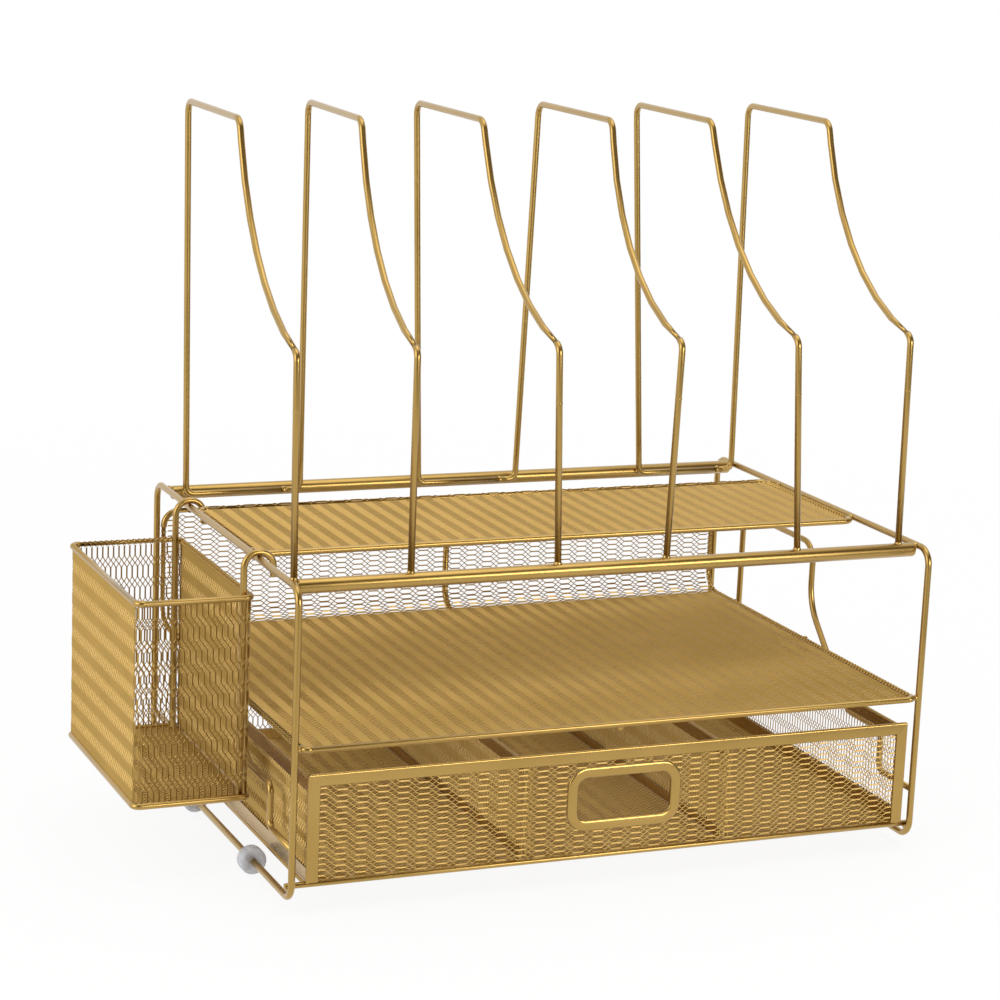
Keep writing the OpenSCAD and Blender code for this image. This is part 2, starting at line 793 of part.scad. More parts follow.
module drawer_bottom_hem() {
    wall_hems(drawer_bottom_z, bottom_hem_h, 1);
}

// Partitions: mesh sheets from front to back, with a folded hem above and below
module partition_mesh(side) {
    mesh_wall(drawer_shift + side * partition_gap / 2, inner_len, floor_top_z, partition_hem_h);
}

module partition_mesh_left() {
    partition_mesh(-1);
}

module partition_mesh_right() {
    partition_mesh(1);
}

module partition_hems(side) {
    color(GOLD) translate([drawer_shift + side * partition_gap / 2, wall_front_y + inner_len / 2, 0]) {
        translate([0, 0, floor_top_z]) rotate(90) folded_hem(inner_len, partition_hem_h, 1);
        translate([0, 0, drawer_top_z - top_hem_h]) rotate(90) folded_hem(inner_len, top_hem_h, -1);
    }
}

module partition_hems_left() {
    partition_hems(-1);
}

module partition_hems_right() {
    partition_hems(1);
}

// Hanging basket: mesh walls between a top and a bottom rim, and a mesh floor
module basket_wall_mesh() {
    h = basket_h - rim_wire_d;
    color(MESH_GOLD) translate([basket_x, 0, (basket_bottom_z + basket_top_z) / 2]) difference() {
        translate([0, 0, -h / 2]) linear_extrude(h) difference() {
            polygon(round_box(basket_w + mesh_t, basket_len + mesh_t, basket_corner_r + mesh_t / 2));
            polygon(round_box(basket_w - mesh_t, basket_len - mesh_t, basket_corner_r - mesh_t / 2));
        }
        upright_sheet(2 * basket_len) net_gaps(basket_w - 2 * basket_corner_r, h);
        rotate(90) upright_sheet(2 * basket_w) net_gaps(basket_len - 2 * basket_corner_r, h);
    }
}

module basket_floor_mesh() {
    color(MESH_GOLD) translate([basket_x, 0, basket_bottom_z - mesh_t / 2]) linear_extrude(mesh_t)
        difference() {
            polygon(round_box(basket_w - rim_wire_d, basket_len - rim_wire_d,
                basket_corner_r - rim_wire_d / 2));
            net_gaps(basket_w - rim_wire_d, basket_len - rim_wire_d);
        }
}

module basket_rim(z) {
    color(GOLD) translate([basket_x, 0, z]) wire_loop(basket_w, basket_len, basket_corner_r, rim_wire_d);
}

module basket_top_rim() {
    basket_rim(basket_top_z);
}

module basket_bottom_rim() {
    basket_rim(basket_bottom_z);
}

// Hooks: wires that stand on the basket's floor, run up inside the near wall and arch over
// the frame's top wire
module basket_hook(y) {
    tip_x = hook_far_x + 2 * hook_arch_r;
    tip_z = frame_top_z - hook_tip_drop;
    color(GOLD) bent_wire(
        [
            [hook_far_x, y, basket_bottom_z + mesh_t / 2],
            [hook_far_x, y, hook_crown_z],
            [tip_x, y, hook_crown_z],
            [tip_x, y, tip_z]
        ],
        [0, hook_arch_r, hook_arch_r, 0],
        hook_wire_d
    );
}

module basket_hook_front() {
    basket_hook(-hook_y);
}

module basket_hook_rear() {
    basket_hook(hook_y);
}

side_frame_left();
side_frame_right();
foot_front_left();
foot_front_right();
foot_rear_left();
foot_rear_right();
front_rail();
rear_rail();
divider_1();
divider_2();
divider_3();
divider_4();
divider_5();
divider_6();
upper_shelf_rim();
upper_shelf_mesh();
tray_rim();
tray_mesh();
tray_support_wire();
side_brace_left();
side_brace_right();
front_crossbar();
rear_crossbar();
drawer_runner_left();
drawer_runner_right();
drawer_front_border();
drawer_front_mesh();
handle_bezel();
drawer_floor_mesh();
drawer_side_mesh_left();
drawer_side_mesh_right();
drawer_rear_mesh();
drawer_top_hem();
drawer_bottom_hem();
partition_mesh_left();
partition_mesh_right();
partition_hems_left();
partition_hems_right();
basket_wall_mesh();
basket_floor_mesh();
basket_top_rim();
basket_bottom_rim();
basket_hook_front();
basket_hook_rear();
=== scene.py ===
# Envelope sorter of gold wire and expanded metal mesh, with file dividers, a small shelf, a
# letter tray, a partitioned drawer and a basket that hangs on the left side frame.
import math

import bmesh
import bpy
from mathutils import Matrix, Vector


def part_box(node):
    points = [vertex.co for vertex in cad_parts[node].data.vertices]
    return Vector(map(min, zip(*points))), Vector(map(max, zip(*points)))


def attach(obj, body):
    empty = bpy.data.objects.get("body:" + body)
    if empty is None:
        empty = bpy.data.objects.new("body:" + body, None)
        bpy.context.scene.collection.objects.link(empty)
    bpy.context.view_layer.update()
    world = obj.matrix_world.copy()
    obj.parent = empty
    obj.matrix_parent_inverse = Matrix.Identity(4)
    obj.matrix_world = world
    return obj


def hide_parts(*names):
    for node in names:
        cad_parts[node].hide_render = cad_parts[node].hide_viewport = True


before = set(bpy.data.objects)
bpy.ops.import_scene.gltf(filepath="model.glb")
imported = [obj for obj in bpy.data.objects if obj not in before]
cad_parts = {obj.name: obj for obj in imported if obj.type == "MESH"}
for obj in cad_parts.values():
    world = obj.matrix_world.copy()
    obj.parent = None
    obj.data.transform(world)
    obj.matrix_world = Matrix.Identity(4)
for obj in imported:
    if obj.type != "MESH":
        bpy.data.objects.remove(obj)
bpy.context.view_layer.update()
MM = 0.001


# Side frames
# Two rounded rectangles of drawn steel wire that stand on edge and carry everything. Each is
# one wire, bent at four corners and butt-welded in its bottom run, then coated satin gold.
BEND_STEP = math.radians(9)
WIRE_SIDES_STEP = 6
FRAME_CORNER_R = 10 * MM
SAME_POINT = 0.01 * MM
CAP_STEPS = 5
CAP_TIP = 0.05
CAP_SEAM = 0.0001 * MM
GOLD = (0.405, 0.250, 0.053)
GOLD_PALE = (0.485, 0.305, 0.078)
CLOUD_SCALE = 22.0
CLOUD_CONTRAST = 1.6
CLOUD_CUT = 0.4
CLOUD_GLOSS = 0.10
SPECK_SCALE = 400.0
SPECK_GLOSS = 0.04
GRAIN_STRENGTH = 0.1
LACQUER = 0.6
LACQUER_ROUGHNESS = 0.3


class Sum:
    """A socket's value, with the arithmetic of Math nodes."""

    def __init__(self, tree, socket):
        self.tree = tree
        self.socket = socket

    def node(self, kind, settings=None, inputs=None, out=0):
        """A node of that type, with its settings first and then its sockets' values or links."""
        made = self.tree.nodes.new(kind)
        for key, value in (settings or {}).items():
            setattr(made, key, value)
        for key, value in (inputs or {}).items():
            if isinstance(value, Sum):
                self.tree.links.new(value.socket, made.inputs[key])
            else:
                made.inputs[key].default_value = value
        return Sum(self.tree, made.outputs[out])

    def maths(self, operation, other=0.0):
        """A Math node on this value and another."""
        return self.node("ShaderNodeMath", {"operation": operation}, {0: self, 1: other})

    def __add__(self, other):
        return self.maths("ADD", other)

    __radd__ = __add__

    def __sub__(self, other):
        return self.maths("SUBTRACT", other)

    def __rsub__(self, other):
        return self.node("ShaderNodeMath", {"operation": "SUBTRACT"}, {0: other, 1: self})

    def __mul__(self, other):
        return self.maths("MULTIPLY", other)

    __rmul__ = __mul__

    def __truediv__(self, other):
        return self.maths("DIVIDE", other)

    def clamped(self):
        return self.node("ShaderNodeClamp", inputs={"Value": self})

    def noise(self, scale, detail):
        """Soft noise at this place."""
        return self.node("ShaderNodeTexNoise", inputs={"Vector": self, "Scale": scale, "Detail": detail})

    def colour(self, first, second):
        """The first colour where this value is 0, and the second where it is 1."""
        return self.node("ShaderNodeMix", {"data_type": "RGBA"},
                         {"Factor": self, "A": (*first, 1), "B": (*second, 1)}, out=2)


def start_material(name):
    """A new material's Principled shader, and a Sum to build its nodes with."""
    material = bpy.data.materials.new(name)
    material.use_nodes = True
    tree = material.node_tree
    shader = tree.nodes["Principled BSDF"]
    place = Sum(tree, tree.nodes.new("ShaderNodeTexCoord").outputs["Object"])
    return material, shader, place


def feed(node, name, value):
    """Links a value to one of a node's sockets."""
    value.tree.links.new(value.socket, node.inputs[name])


def satin_gold(name, roughness, grain):
    """Coated gold steel: slightly uneven colour and gloss, and a fine bump of grain metres."""
    material, shader, place = start_material(name)
    cloud = place.noise(CLOUD_SCALE, 3.0)
    speck = place.noise(SPECK_SCALE, 1.0)
    bump = place.node("ShaderNodeBump", inputs={
        "Strength": GRAIN_STRENGTH, "Distance": grain, "Height": speck})
    feed(shader, "Base Color", (cloud * CLOUD_CONTRAST - CLOUD_CUT).clamped().colour(GOLD, GOLD_PALE))
    feed(shader, "Roughness", roughness + CLOUD_GLOSS * (cloud - 0.5) + SPECK_GLOSS * (speck - 0.5))
    feed(shader, "Normal", bump)
    shader.inputs["Metallic"].default_value = 1.0
    shader.inputs["Coat Weight"].default_value = LACQUER
    shader.inputs["Coat Roughness"].default_value = LACQUER_ROUGHNESS
    return material


WIRE_GOLD = satin_gold("wire_gold", roughness=0.30, grain=0.01 * MM)


def add_piece(name, mesh, material, body, nodes=()):
    """Puts a finished mesh in the scene as a piece that rides on a body."""
    piece = bpy.data.objects.new(name, mesh)
    bpy.context.scene.collection.objects.link(piece)
    if material is not None:
        mesh.materials.clear()
        mesh.materials.append(material)
    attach(piece, body)
    if nodes:
        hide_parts(*nodes)


def angles(turn, steps):
    """Even steps from 0 to an angle."""
    return [turn * k / steps for k in range(steps + 1)]


def bend_points(before, corner, after, radius):
    """Points of the round bend that replaces a corner."""
    into = (corner - before).normalized()
    out = (after - corner).normalized()
    turn = into.angle(out)
    start = corner - into * radius * math.tan(turn / 2)
    inward = (out - into * into.dot(out)).normalized()
    steps = max(1, math.ceil(turn / BEND_STEP))
    return [start + radius * (into * math.sin(a) + inward * (1 - math.cos(a))) for a in angles(turn, steps)]


def bent_path(corners, radii, closed=False):
    """Middle line of a wire through corner points, with one bend radius for each corner."""
    corners = [Vector(corner) for corner in corners]
    count = len(corners)
    path = []
    for k, corner in enumerate(corners):
        if not closed and k in (0, count - 1):
            bend = [corner]
        else:
            bend = bend_points(corners[k - 1], corner, corners[(k + 1) % count], radii[k])
        path += [point for point in bend if not path or (point - path[-1]).length > SAME_POINT]
    return path


def tube_mesh(name, path, diameter, closed=False, round_ends=0.0):
    """Round wire or tube along a path. Its ends are rounded over that length."""
    points = [point if isinstance(point, tuple) else (point, 1.0) for point in path]
    if round_ends:
        for _ in range(2):
            tip, ahead = points[0][0], points[1][0]
            inward = (ahead - tip).normalized()
            cap = [(tip + inward * round_ends * (1 - math.cos(a)), max(CAP_TIP, math.sin(a)))
                   for a in angles(math.pi / 2, CAP_STEPS)]
            points = (cap + points[1:])[::-1]
    curve = bpy.data.curves.new(name, "CURVE")
    curve.dimensions = "3D"
    curve.bevel_depth = diameter / 2
    curve.bevel_resolution = WIRE_SIDES_STEP
    curve.use_fill_caps = not closed
    spline = curve.splines.new("POLY")
    spline.points.add(len(points) - 1)
    for at, (point, radius) in zip(spline.points, points):
        at.co = (*point, 1)
        at.radius = radius
    spline.use_cyclic_u = closed
    spline.use_smooth = True
    holder = bpy.data.objects.new(name, curve)
    bpy.context.scene.collection.objects.link(holder)
    mesh = bpy.data.meshes.new_from_object(holder.evaluated_get(bpy.context.evaluated_depsgraph_get()))
    bpy.data.objects.remove(holder)
    bpy.data.curves.remove(curve)
    mesh.materials.clear()
    maker = bmesh.new()
    maker.from_mesh(mesh)
    bmesh.ops.remove_doubles(maker, verts=maker.verts, dist=CAP_SEAM)
    maker.to_mesh(mesh)
    maker.free()
    for face in mesh.polygons:
        face.use_smooth = len(face.vertices) == 4
    return mesh


def wire(name, corners, radii, diameter, body="sorter", closed=False, round_ends=0.0):
    """A bent wire that stands for the CAD node of its name."""
    mesh = tube_mesh(name, bent_path(corners, radii, closed), diameter, closed, round_ends)
    add_piece(name + "_wire", mesh, WIRE_GOLD, body, [name])


def limits(node):
    """Low and high corner of a CAD node's box."""
    low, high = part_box(node)
    return Vector(low), Vector(high)


def middle(node):
    """Middle of a CAD node's box."""
    low, high = limits(node)
    return (low + high) / 2


frame_low, frame_high = limits("side_frame_left")
frame_wire = frame_high.x - frame_low.x
frame_x = -middle("side_frame_left").x
leg_y = frame_high.y - frame_wire / 2
bottom_z = frame_low.z + frame_wire / 2
top_z = frame_high.z - frame_wire / 2
for side, sign in (("left", -1), ("right", 1)):
    wire(
        "side_frame_" + side,
        [(sign * frame_x, y, z) for y, z in
         ((-leg_y, bottom_z), (leg_y, bottom_z), (leg_y, top_z), (-leg_y, top_z))],
        [FRAME_CORNER_R] * 4, frame_wire, closed=True)


# Rubber feet
# Four short sleeves of translucent rubber, pushed onto the bottom runs before the frames were
# welded shut. Their rims are rounded and the load presses them flat underneath.
FOOT_EDGE_R = 2 * MM
FOOT_EDGE_STEPS = 6
FOOT_TURNS = 64
RUBBER = (0.62, 0.66, 0.74)
RUBBER_MILK = (0.72, 0.75, 0.82)
RUBBER_ALPHA = 0.7
RUBBER_DEPTH = 4 * MM
RUBBER_SCATTER = 0.35
RUBBER_CLOUD = 160.0
RUBBER_ROUGHNESS = 0.42
RUBBER_GLOSS = 0.12
RUBBER_BUMP = 0.1 * MM
RUBBER_BUMP_STRENGTH = 0.3


def frosted_rubber():
    """Pale, milky, see-through rubber with a slightly uneven skin."""
    material, shader, place = start_material("frosted_rubber")
    cloud = place.noise(RUBBER_CLOUD, 4.0)
    bump = place.node("ShaderNodeBump", inputs={
        "Strength": RUBBER_BUMP_STRENGTH, "Distance": RUBBER_BUMP, "Height": cloud})
    feed(shader, "Base Color", cloud.colour(RUBBER, RUBBER_MILK))
    feed(shader, "Roughness", RUBBER_ROUGHNESS + RUBBER_GLOSS * cloud)
    feed(shader, "Normal", bump)
    shader.inputs["Alpha"].default_value = RUBBER_ALPHA
    shader.inputs["Subsurface Weight"].default_value = RUBBER_SCATTER
    shader.inputs["Subsurface Radius"].default_value = [RUBBER_DEPTH] * 3
    return material


FOOT_RUBBER = frosted_rubber()


def closed_mesh(name, maker):
    """The mesh of a closed shell, with its faces turned outwards."""
    bmesh.ops.recalc_face_normals(maker, faces=maker.faces)
    mesh = bpy.data.meshes.new(name)
    maker.to_mesh(mesh)
    maker.free()
    return mesh


def ring_mesh(name, rings):
    """A closed ring through outlines that follow each other and have the same count of points."""
    maker = bmesh.new()
    rings = [[maker.verts.new(point) for point in ring] for ring in rings]
    for k, ring in enumerate(rings):
        before = rings[k - 1]
        for a in range(len(ring)):
            maker.faces.new((before[a - 1], before[a], ring[a], ring[a - 1]))
    return closed_mesh(name, maker)


for node in ("foot_front_left", "foot_front_right", "foot_rear_left", "foot_rear_right"):
    foot_low, foot_high = limits(node)
    half = (foot_high.y - foot_low.y) / 2
    inset = (foot_high.x - foot_low.x) / 2 - FOOT_EDGE_R
    shoulder = half - FOOT_EDGE_R
    quarter = angles(math.pi / 2, FOOT_EDGE_STEPS)
    outline = [(frame_wire / 2, -half)]
    outline += [(inset + FOOT_EDGE_R * math.sin(a), -shoulder - FOOT_EDGE_R * math.cos(a)) for a in quarter]
    outline += [(inset + FOOT_EDGE_R * math.cos(a), shoulder + FOOT_EDGE_R * math.sin(a)) for a in quarter]
    outline += [(frame_wire / 2, half)]
    centre = Vector((middle(node).x, middle(node).y, bottom_z))
    mesh = ring_mesh(node, [
        [centre + Vector((r * math.cos(turn), along, r * math.sin(turn))) for r, along in outline]
        for turn in angles(2 * math.pi, FOOT_TURNS)[:-1]])
    for vertex in mesh.vertices:
        vertex.co.z = max(vertex.co.z, foot_low.z)
    for face in mesh.polygons:
        face.use_smooth = True
    add_piece(node + "_sleeve", mesh, FOOT_RUBBER, "sorter", [node])


# Rails
# Two steel tubes with closed, slightly domed ends join the side frames at the top. Each end is
# welded to the frame's top wire.
RAIL_END = 2.2 * MM

for node in ("front_rail", "rear_rail"):
    rail_low, rail_high = limits(node)
    rail_tube = rail_high.z - rail_low.z
    half = Vector(((rail_high.x - rail_low.x) / 2, 0, 0))
    mesh = tube_mesh(node, [middle(node) - half, middle(node) + half], rail_tube, round_ends=RAIL_END)
    add_piece(node + "_tube", mesh, WIRE_GOLD, "sorter", [node])
rail_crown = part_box("front_rail")[1][2]
rail_z = middle("front_rail").z
rail_front_y = middle("front_rail").y
rail_rear_y = middle("rear_rail").y


# Dividers
# Six upright loops of wire with a hollow sweep at the front. Each stands on the front rail. At
# the back the two wires of a pair turn into one foot along the rear rail and meet in a butt weld.
DIVIDER_WIRE = 4 * MM
PAIR_WIDTH = 69.3 * MM
LEFT_PAIR_GAP = 1.5 * MM
MIDDLE_PAIR_SHIFT = -4.2 * MM
RIGHT_PAIR_GAP = 13.8 * MM
SHOULDER = (0, 126.7 * MM)
SWEEP = (90.5 * MM, 144 * MM)
TOP_FRONT = 121.5 * MM
TOP_HEIGHT = 242 * MM
DIVIDER_RADII = [0, 6 * MM, 149 * MM, 8 * MM, 8 * MM, 5 * MM, 0]
FOOT_WELD_GAP = 11 * MM
REAR_SHIFT = [9.3 * MM, 15.5 * MM, 6.2 * MM, 5.5 * MM, 9.4 * MM, 9.8 * MM]
TOP_SHIFT = [-2.9 * MM, -1.1 * MM, -9.9 * MM, 5.5 * MM, -15.4 * MM, -3.1 * MM]

divider_rear_y = rail_rear_y - rail_tube / 2 - DIVIDER_WIRE / 2
divider_depth = divider_rear_y - rail_front_y
divider_x = []
for first in (-frame_x + LEFT_PAIR_GAP, MIDDLE_PAIR_SHIFT - PAIR_WIDTH / 2,
              frame_x - RIGHT_PAIR_GAP - PAIR_WIDTH):
    divider_x += [first, first + PAIR_WIDTH]


def divider_point(k, back, height):
    """Point of divider k, a distance back from its front leg and a height over the rail."""
    lean = REAR_SHIFT[k] * back / divider_depth + TOP_SHIFT[k] * height / TOP_HEIGHT
    return Vector((divider_x[k] + lean, rail_front_y + back, rail_crown + height))


foot_ends = []
for k in range(6):
    corner = divider_point(k, divider_depth, rail_z - rail_crown)
    right_wire = k + 1 - k % 2
    weld_x = divider_point(right_wire, divider_depth, 0).x - FOOT_WELD_GAP
    foot_ends.append(Vector((weld_x, corner.y, corner.z)))
    wire(
        "divider_%d" % (k + 1),
        [
            divider_point(k, 0, 0), divider_point(k, *SHOULDER), divider_point(k, *SWEEP),
            divider_point(k, TOP_FRONT, TOP_HEIGHT), divider_point(k, divider_depth, TOP_HEIGHT),
            corner, foot_ends[-1],
        ],
        DIVIDER_RADII, DIVIDER_WIRE)


# Expanded mesh
# Thin sheet, slit and pulled open, so each strand runs in zigzags and shares its edge in turn
# with the strand below and the strand above. Two rows of small diamonds part the long slots.
STRAND_W = 0.58 * MM
STRAND_T = 0.36 * MM
STRAND_TILT = math.radians(45)
ROW_PITCH = 3.4 * MM
SLOT_PITCH = 11.7 * MM
BAR_SHARE = 0.48
DIAGONALS = 3
NO_HOLE = (9.0, -9.0, 9.0, -9.0)

MESH_GOLD = satin_gold("mesh_gold", roughness=0.45, grain=0.01 * MM)


def field_tree(name, numbers):
    """A Geometry Nodes group with those named number inputs. Returns it and a Sum per input."""
    tree = bpy.data.node_groups.new(name, "GeometryNodeTree")
    tree.interface.new_socket("Geometry", in_out="INPUT", socket_type="NodeSocketGeometry")
    for label in numbers:
        tree.interface.new_socket(label, in_out="INPUT", socket_type="NodeSocketFloat")
    tree.interface.new_socket("Material", in_out="INPUT", socket_type="NodeSocketMaterial")
    tree.interface.new_socket("Geometry", in_out="OUTPUT", socket_type="NodeSocketGeometry")
    entry = tree.nodes.new("NodeGroupInput")
    leave = tree.nodes.new("NodeGroupOutput")
    ports = {socket.name: Sum(tree, socket) for socket in entry.outputs if socket.name}
    return tree, ports, leave


def expanded_mesh_tree():
    """Strands along X, stacked along Y, each a zigzag polyline with a flat tilted section."""
    labels = ["Points", "Strands", "Bar Points", "Slot Pitch", "Bar Length", "Strand Pitch", "Strand Width",
              "Strand Thickness", "Tilt", "Hole Left", "Hole Right", "Hole Low", "Hole High"]
    tree, port, leave = field_tree("Expanded mesh", labels)
    any_port = port["Points"]
    strand = any_port.node("GeometryNodeMeshLine", {"mode": "OFFSET"}, {"Count": port["Points"]})
    stack = any_port.node("GeometryNodeMeshLine", {"mode": "OFFSET"}, {"Count": port["Strands"]})
    copies = any_port.node("GeometryNodeInstanceOnPoints", inputs={"Points": stack, "Instance": strand})
    lines = any_port.node("GeometryNodeRealizeInstances", inputs={"Geometry": copies})

    index = any_port.node("GeometryNodeInputIndex")
    row = (index / port["Points"]).maths("FLOOR")
    step = index - row * port["Points"]
    per_slot = port["Bar Points"] + DIAGONALS
    slot = (step / per_slot).maths("FLOOR")
    at = step - slot * per_slot
    on_bar = at.maths("MINIMUM", port["Bar Points"])
    past_bar = (at - port["Bar Points"]).maths("MAXIMUM")
    diagonal = (port["Slot Pitch"] - port["Bar Length"]) / DIAGONALS
    bar_step = port["Bar Length"] / port["Bar Points"]
    along = slot * port["Slot Pitch"] + on_bar * bar_step + past_bar * diagonal
    first_node = at.maths("COMPARE", port["Bar Points"] + 1.0)
    side = (slot + first_node + row).maths("FLOORED_MODULO", 2.0)
    sign = 1.0 - 2.0 * side
    half_w = port["Strand Width"] * 0.5
    bond_y = half_w * port["Tilt"].maths("COSINE")
    bond_z = half_w * port["Tilt"].maths("SINE")
    across = (row + 0.5) * port["Strand Pitch"] - sign * (port["Strand Pitch"] * 0.5 - bond_y)
    place = any_port.node("ShaderNodeCombineXYZ", inputs={"X": along, "Y": across, "Z": sign * bond_z})
    shaped = any_port.node("GeometryNodeSetPosition", inputs={"Geometry": lines, "Position": place})

    in_x = along.maths("GREATER_THAN", port["Hole Left"]) * along.maths("LESS_THAN", port["Hole Right"])
    in_y = across.maths("GREATER_THAN", port["Hole Low"]) * across.maths("LESS_THAN", port["Hole High"])
    holed = any_port.node("GeometryNodeDeleteGeometry", {"domain": "POINT"},
                          {"Geometry": shaped, "Selection": in_x * in_y})
    curve = any_port.node("GeometryNodeMeshToCurve", inputs={"Mesh": holed})
    upright = any_port.node("GeometryNodeSetCurveNormal", {"mode": "Z_UP"}, {"Curve": curve})
    tilted = any_port.node("GeometryNodeSetCurveTilt", inputs={"Curve": upright, "Tilt": port["Tilt"]})
    profile = any_port.node(
        "GeometryNodeCurvePrimitiveQuadrilateral", {"mode": "RECTANGLE"},
        {"Width": port["Strand Width"], "Height": port["Strand Thickness"]})
    ribbon = any_port.node(
        "GeometryNodeCurveToMesh", inputs={"Curve": tilted, "Profile Curve": profile, "Fill Caps": True})
    flat = any_port.node("GeometryNodeSetShadeSmooth", inputs={"Geometry": ribbon, "Shade Smooth": False})
    whole = any_port.node("GeometryNodeRealizeInstances", inputs={"Geometry": flat})
    done = any_port.node("GeometryNodeSetMaterial", inputs={"Geometry": whole, "Material": port["Material"]})
    feed(leave, "Geometry", done)
    return tree


def through_nodes(name, tree, values, mesh=None):
    """Runs a Geometry Nodes group and returns the mesh that it makes."""
    holder = bpy.data.objects.new(name, mesh or bpy.data.meshes.new(name))
    bpy.context.scene.collection.objects.link(holder)
    modifier = holder.modifiers.new("nodes", "NODES")
    modifier.node_group = tree
    for item in tree.interface.items_tree:
        if item.item_type == "SOCKET" and item.in_out == "INPUT" and item.name in values:
            modifier[item.identifier] = values[item.name]
    made = bpy.data.meshes.new_from_object(holder.evaluated_get(bpy.context.evaluated_depsgraph_get()))
    holder.modifiers.clear()
    bpy.data.objects.remove(holder)
    return made


EXPANDED = expanded_mesh_tree()


def expanded_sheet(name, length, width, usual_pitch=SLOT_PITCH, bar_points=1, hole=NO_HOLE,
                   tilt=STRAND_TILT, strand_w=STRAND_W):
    """Flat expanded mesh from the origin: strands along X over length, rows along Y over width."""
    slots = max(1, round(length / usual_pitch - BAR_SHARE))
    strands = 2 * max(1, round(width / ROW_PITCH))
    slot_pitch = length / (slots + BAR_SHARE)
    left, right, low, high = hole
    return through_nodes(name, EXPANDED, {
        "Points": float(slots * (bar_points + DIAGONALS) + bar_points + 1),
        "Strands": float(strands),
        "Bar Points": float(bar_points),
        "Slot Pitch": slot_pitch,
        "Bar Length": slot_pitch * BAR_SHARE,
        "Strand Pitch": width / strands,
        "Strand Width": strand_w,
        "Strand Thickness": STRAND_T,
        "Tilt": tilt,
        "Hole Left": left,
        "Hole Right": right,
        "Hole Low": low,
        "Hole High": high,
        "Material": MESH_GOLD,
    })


def laid(mesh, origin, along, across):
    """Moves a flat sheet so that its X runs along and its Y across, from origin."""
    along = Vector(along).normalized()
    across = Vector(across).normalized()
    turn = Matrix((along, across, along.cross(across))).transposed().to_4x4()
    mesh.transform(Matrix.Translation(origin) @ turn)


def level_sheet(name, low, high, z, body, node, tilt=STRAND_TILT):
    """A level sheet of mesh between two places (x, y), at a height."""
    mesh = expanded_sheet(name, high[0] - low[0], high[1] - low[1], tilt=tilt)
    laid(mesh, Vector((*low, z)), (1, 0, 0), (0, 1, 0))
    add_piece(name, mesh, None, body, [node])


# Upper shelf
# A small shelf of mesh inside a wire rim, between the side frames' top wires. The sheet is rolled
# round the rim at the back and wound round it at the sides, and it ends behind the front wire.
UPPER_CORNER_R = 6 * MM
UPPER_STRAND_TILT = math.radians(40)
RIM_WIRE = 4 * MM
ROLL_R = 1.46 * MM
ROLL_SHARE = 0.94
WOUND_PITCH = 9 * MM
EDGE_BARE = 0.6 * MM
EDGE_STEP = 0.4 * MM
FOLD_T = 0.35 * MM
FOLD_TURN = math.radians(120)
FOLD_TURN_STEPS = 10
ROLL_CORE = 0.6
rim_r = RIM_WIRE / 2


def path_frames(path):
    """Each point of a path with its distance from the start and the path's direction there."""
    steps = [(ahead - here).normalized() for here, ahead in zip(path, path[1:])]
    directions = [(before + after).normalized()
                  for before, after in zip(steps[:1] + steps, steps + steps[-1:])]
    distance = 0.0
    frames = []
    for k, point in enumerate(path):
        distance += (point - path[k - 1]).length if k else 0.0
        frames.append((distance, point, directions[k]))
    return frames


def on_path(frames, distance):
    """Place and direction at a distance from the path's start."""
    for (near, here, heading), (far, ahead, next_heading) in zip(frames, frames[1:]):
        if distance <= far:
            break
    share = (distance - near) / (far - near)
    return here.lerp(ahead, share), heading.lerp(next_heading, share).normalized()


def sleeve(name, mesh, frames, inward, body):
    """Bends a flat sheet, with X along the path and Y round it, into a sleeve round the path."""
    for vertex in mesh.vertices:
        far, turn, out = vertex.co
        at, along = on_path(frames, far)
        angle = turn / ROLL_R
        vertex.co = at + (ROLL_R + out) * (inward * math.cos(angle) + inward.cross(along) * math.sin(angle))
    add_piece(name, mesh, None, body)


def rolled_edge(name, path, inward, body):
    """A sheet's edge along its strands, rolled round the rim wire."""
    frames = path_frames(path)
    mesh = expanded_sheet(name, frames[-1][0], 2 * math.pi * ROLL_R * ROLL_SHARE)
    sleeve(name, mesh, frames, inward, body)


def wound_edge(name, path, inward, body):
    """A sheet's edge across its strands: their ends are wound round the rim wire."""
    frames = path_frames(path)
    mesh = expanded_sheet(name, 2 * math.pi * ROLL_R * ROLL_SHARE, frames[-1][0], WOUND_PITCH, bar_points=3)
    for vertex in mesh.vertices:
        turn, far, out = vertex.co
        vertex.co = (far, -turn, out)
    sleeve(name, mesh, frames, inward, body)


def bar_mesh(name, *outlines):
    """A closed bar between two end outlines with the same count of points."""
    maker = bmesh.new()
    first, last = ([maker.verts.new(point) for point in outline] for outline in outlines)
    for k in range(len(first)):
        maker.faces.new((first[k - 1], first[k], last[k], last[k - 1]))
    maker.faces.new(first)
    maker.faces.new(last[::-1])
    return closed_mesh(name, maker)


def folded_edge(name, path, inward, body):
    """A sheet's plain edge, folded part of the way round the rim wire."""
    fold = angles(FOLD_TURN, FOLD_TURN_STEPS)
    outline = [(rim_r - FOLD_T, a) for a in fold] + [(rim_r, a) for a in fold[::-1]]
    under = inward.cross((path[-1] - path[0]).normalized())
    mesh = bar_mesh(name, *(
        [at + r * (inward * math.cos(a) + under * math.sin(a)) for r, a in outline]
        for at in (path[0], path[-1])))
    add_piece(name, mesh, MESH_GOLD, body)


EDGE_CORE = {rolled_edge: ROLL_CORE, wound_edge: ROLL_CORE, folded_edge: 1 - FOLD_T / rim_r}


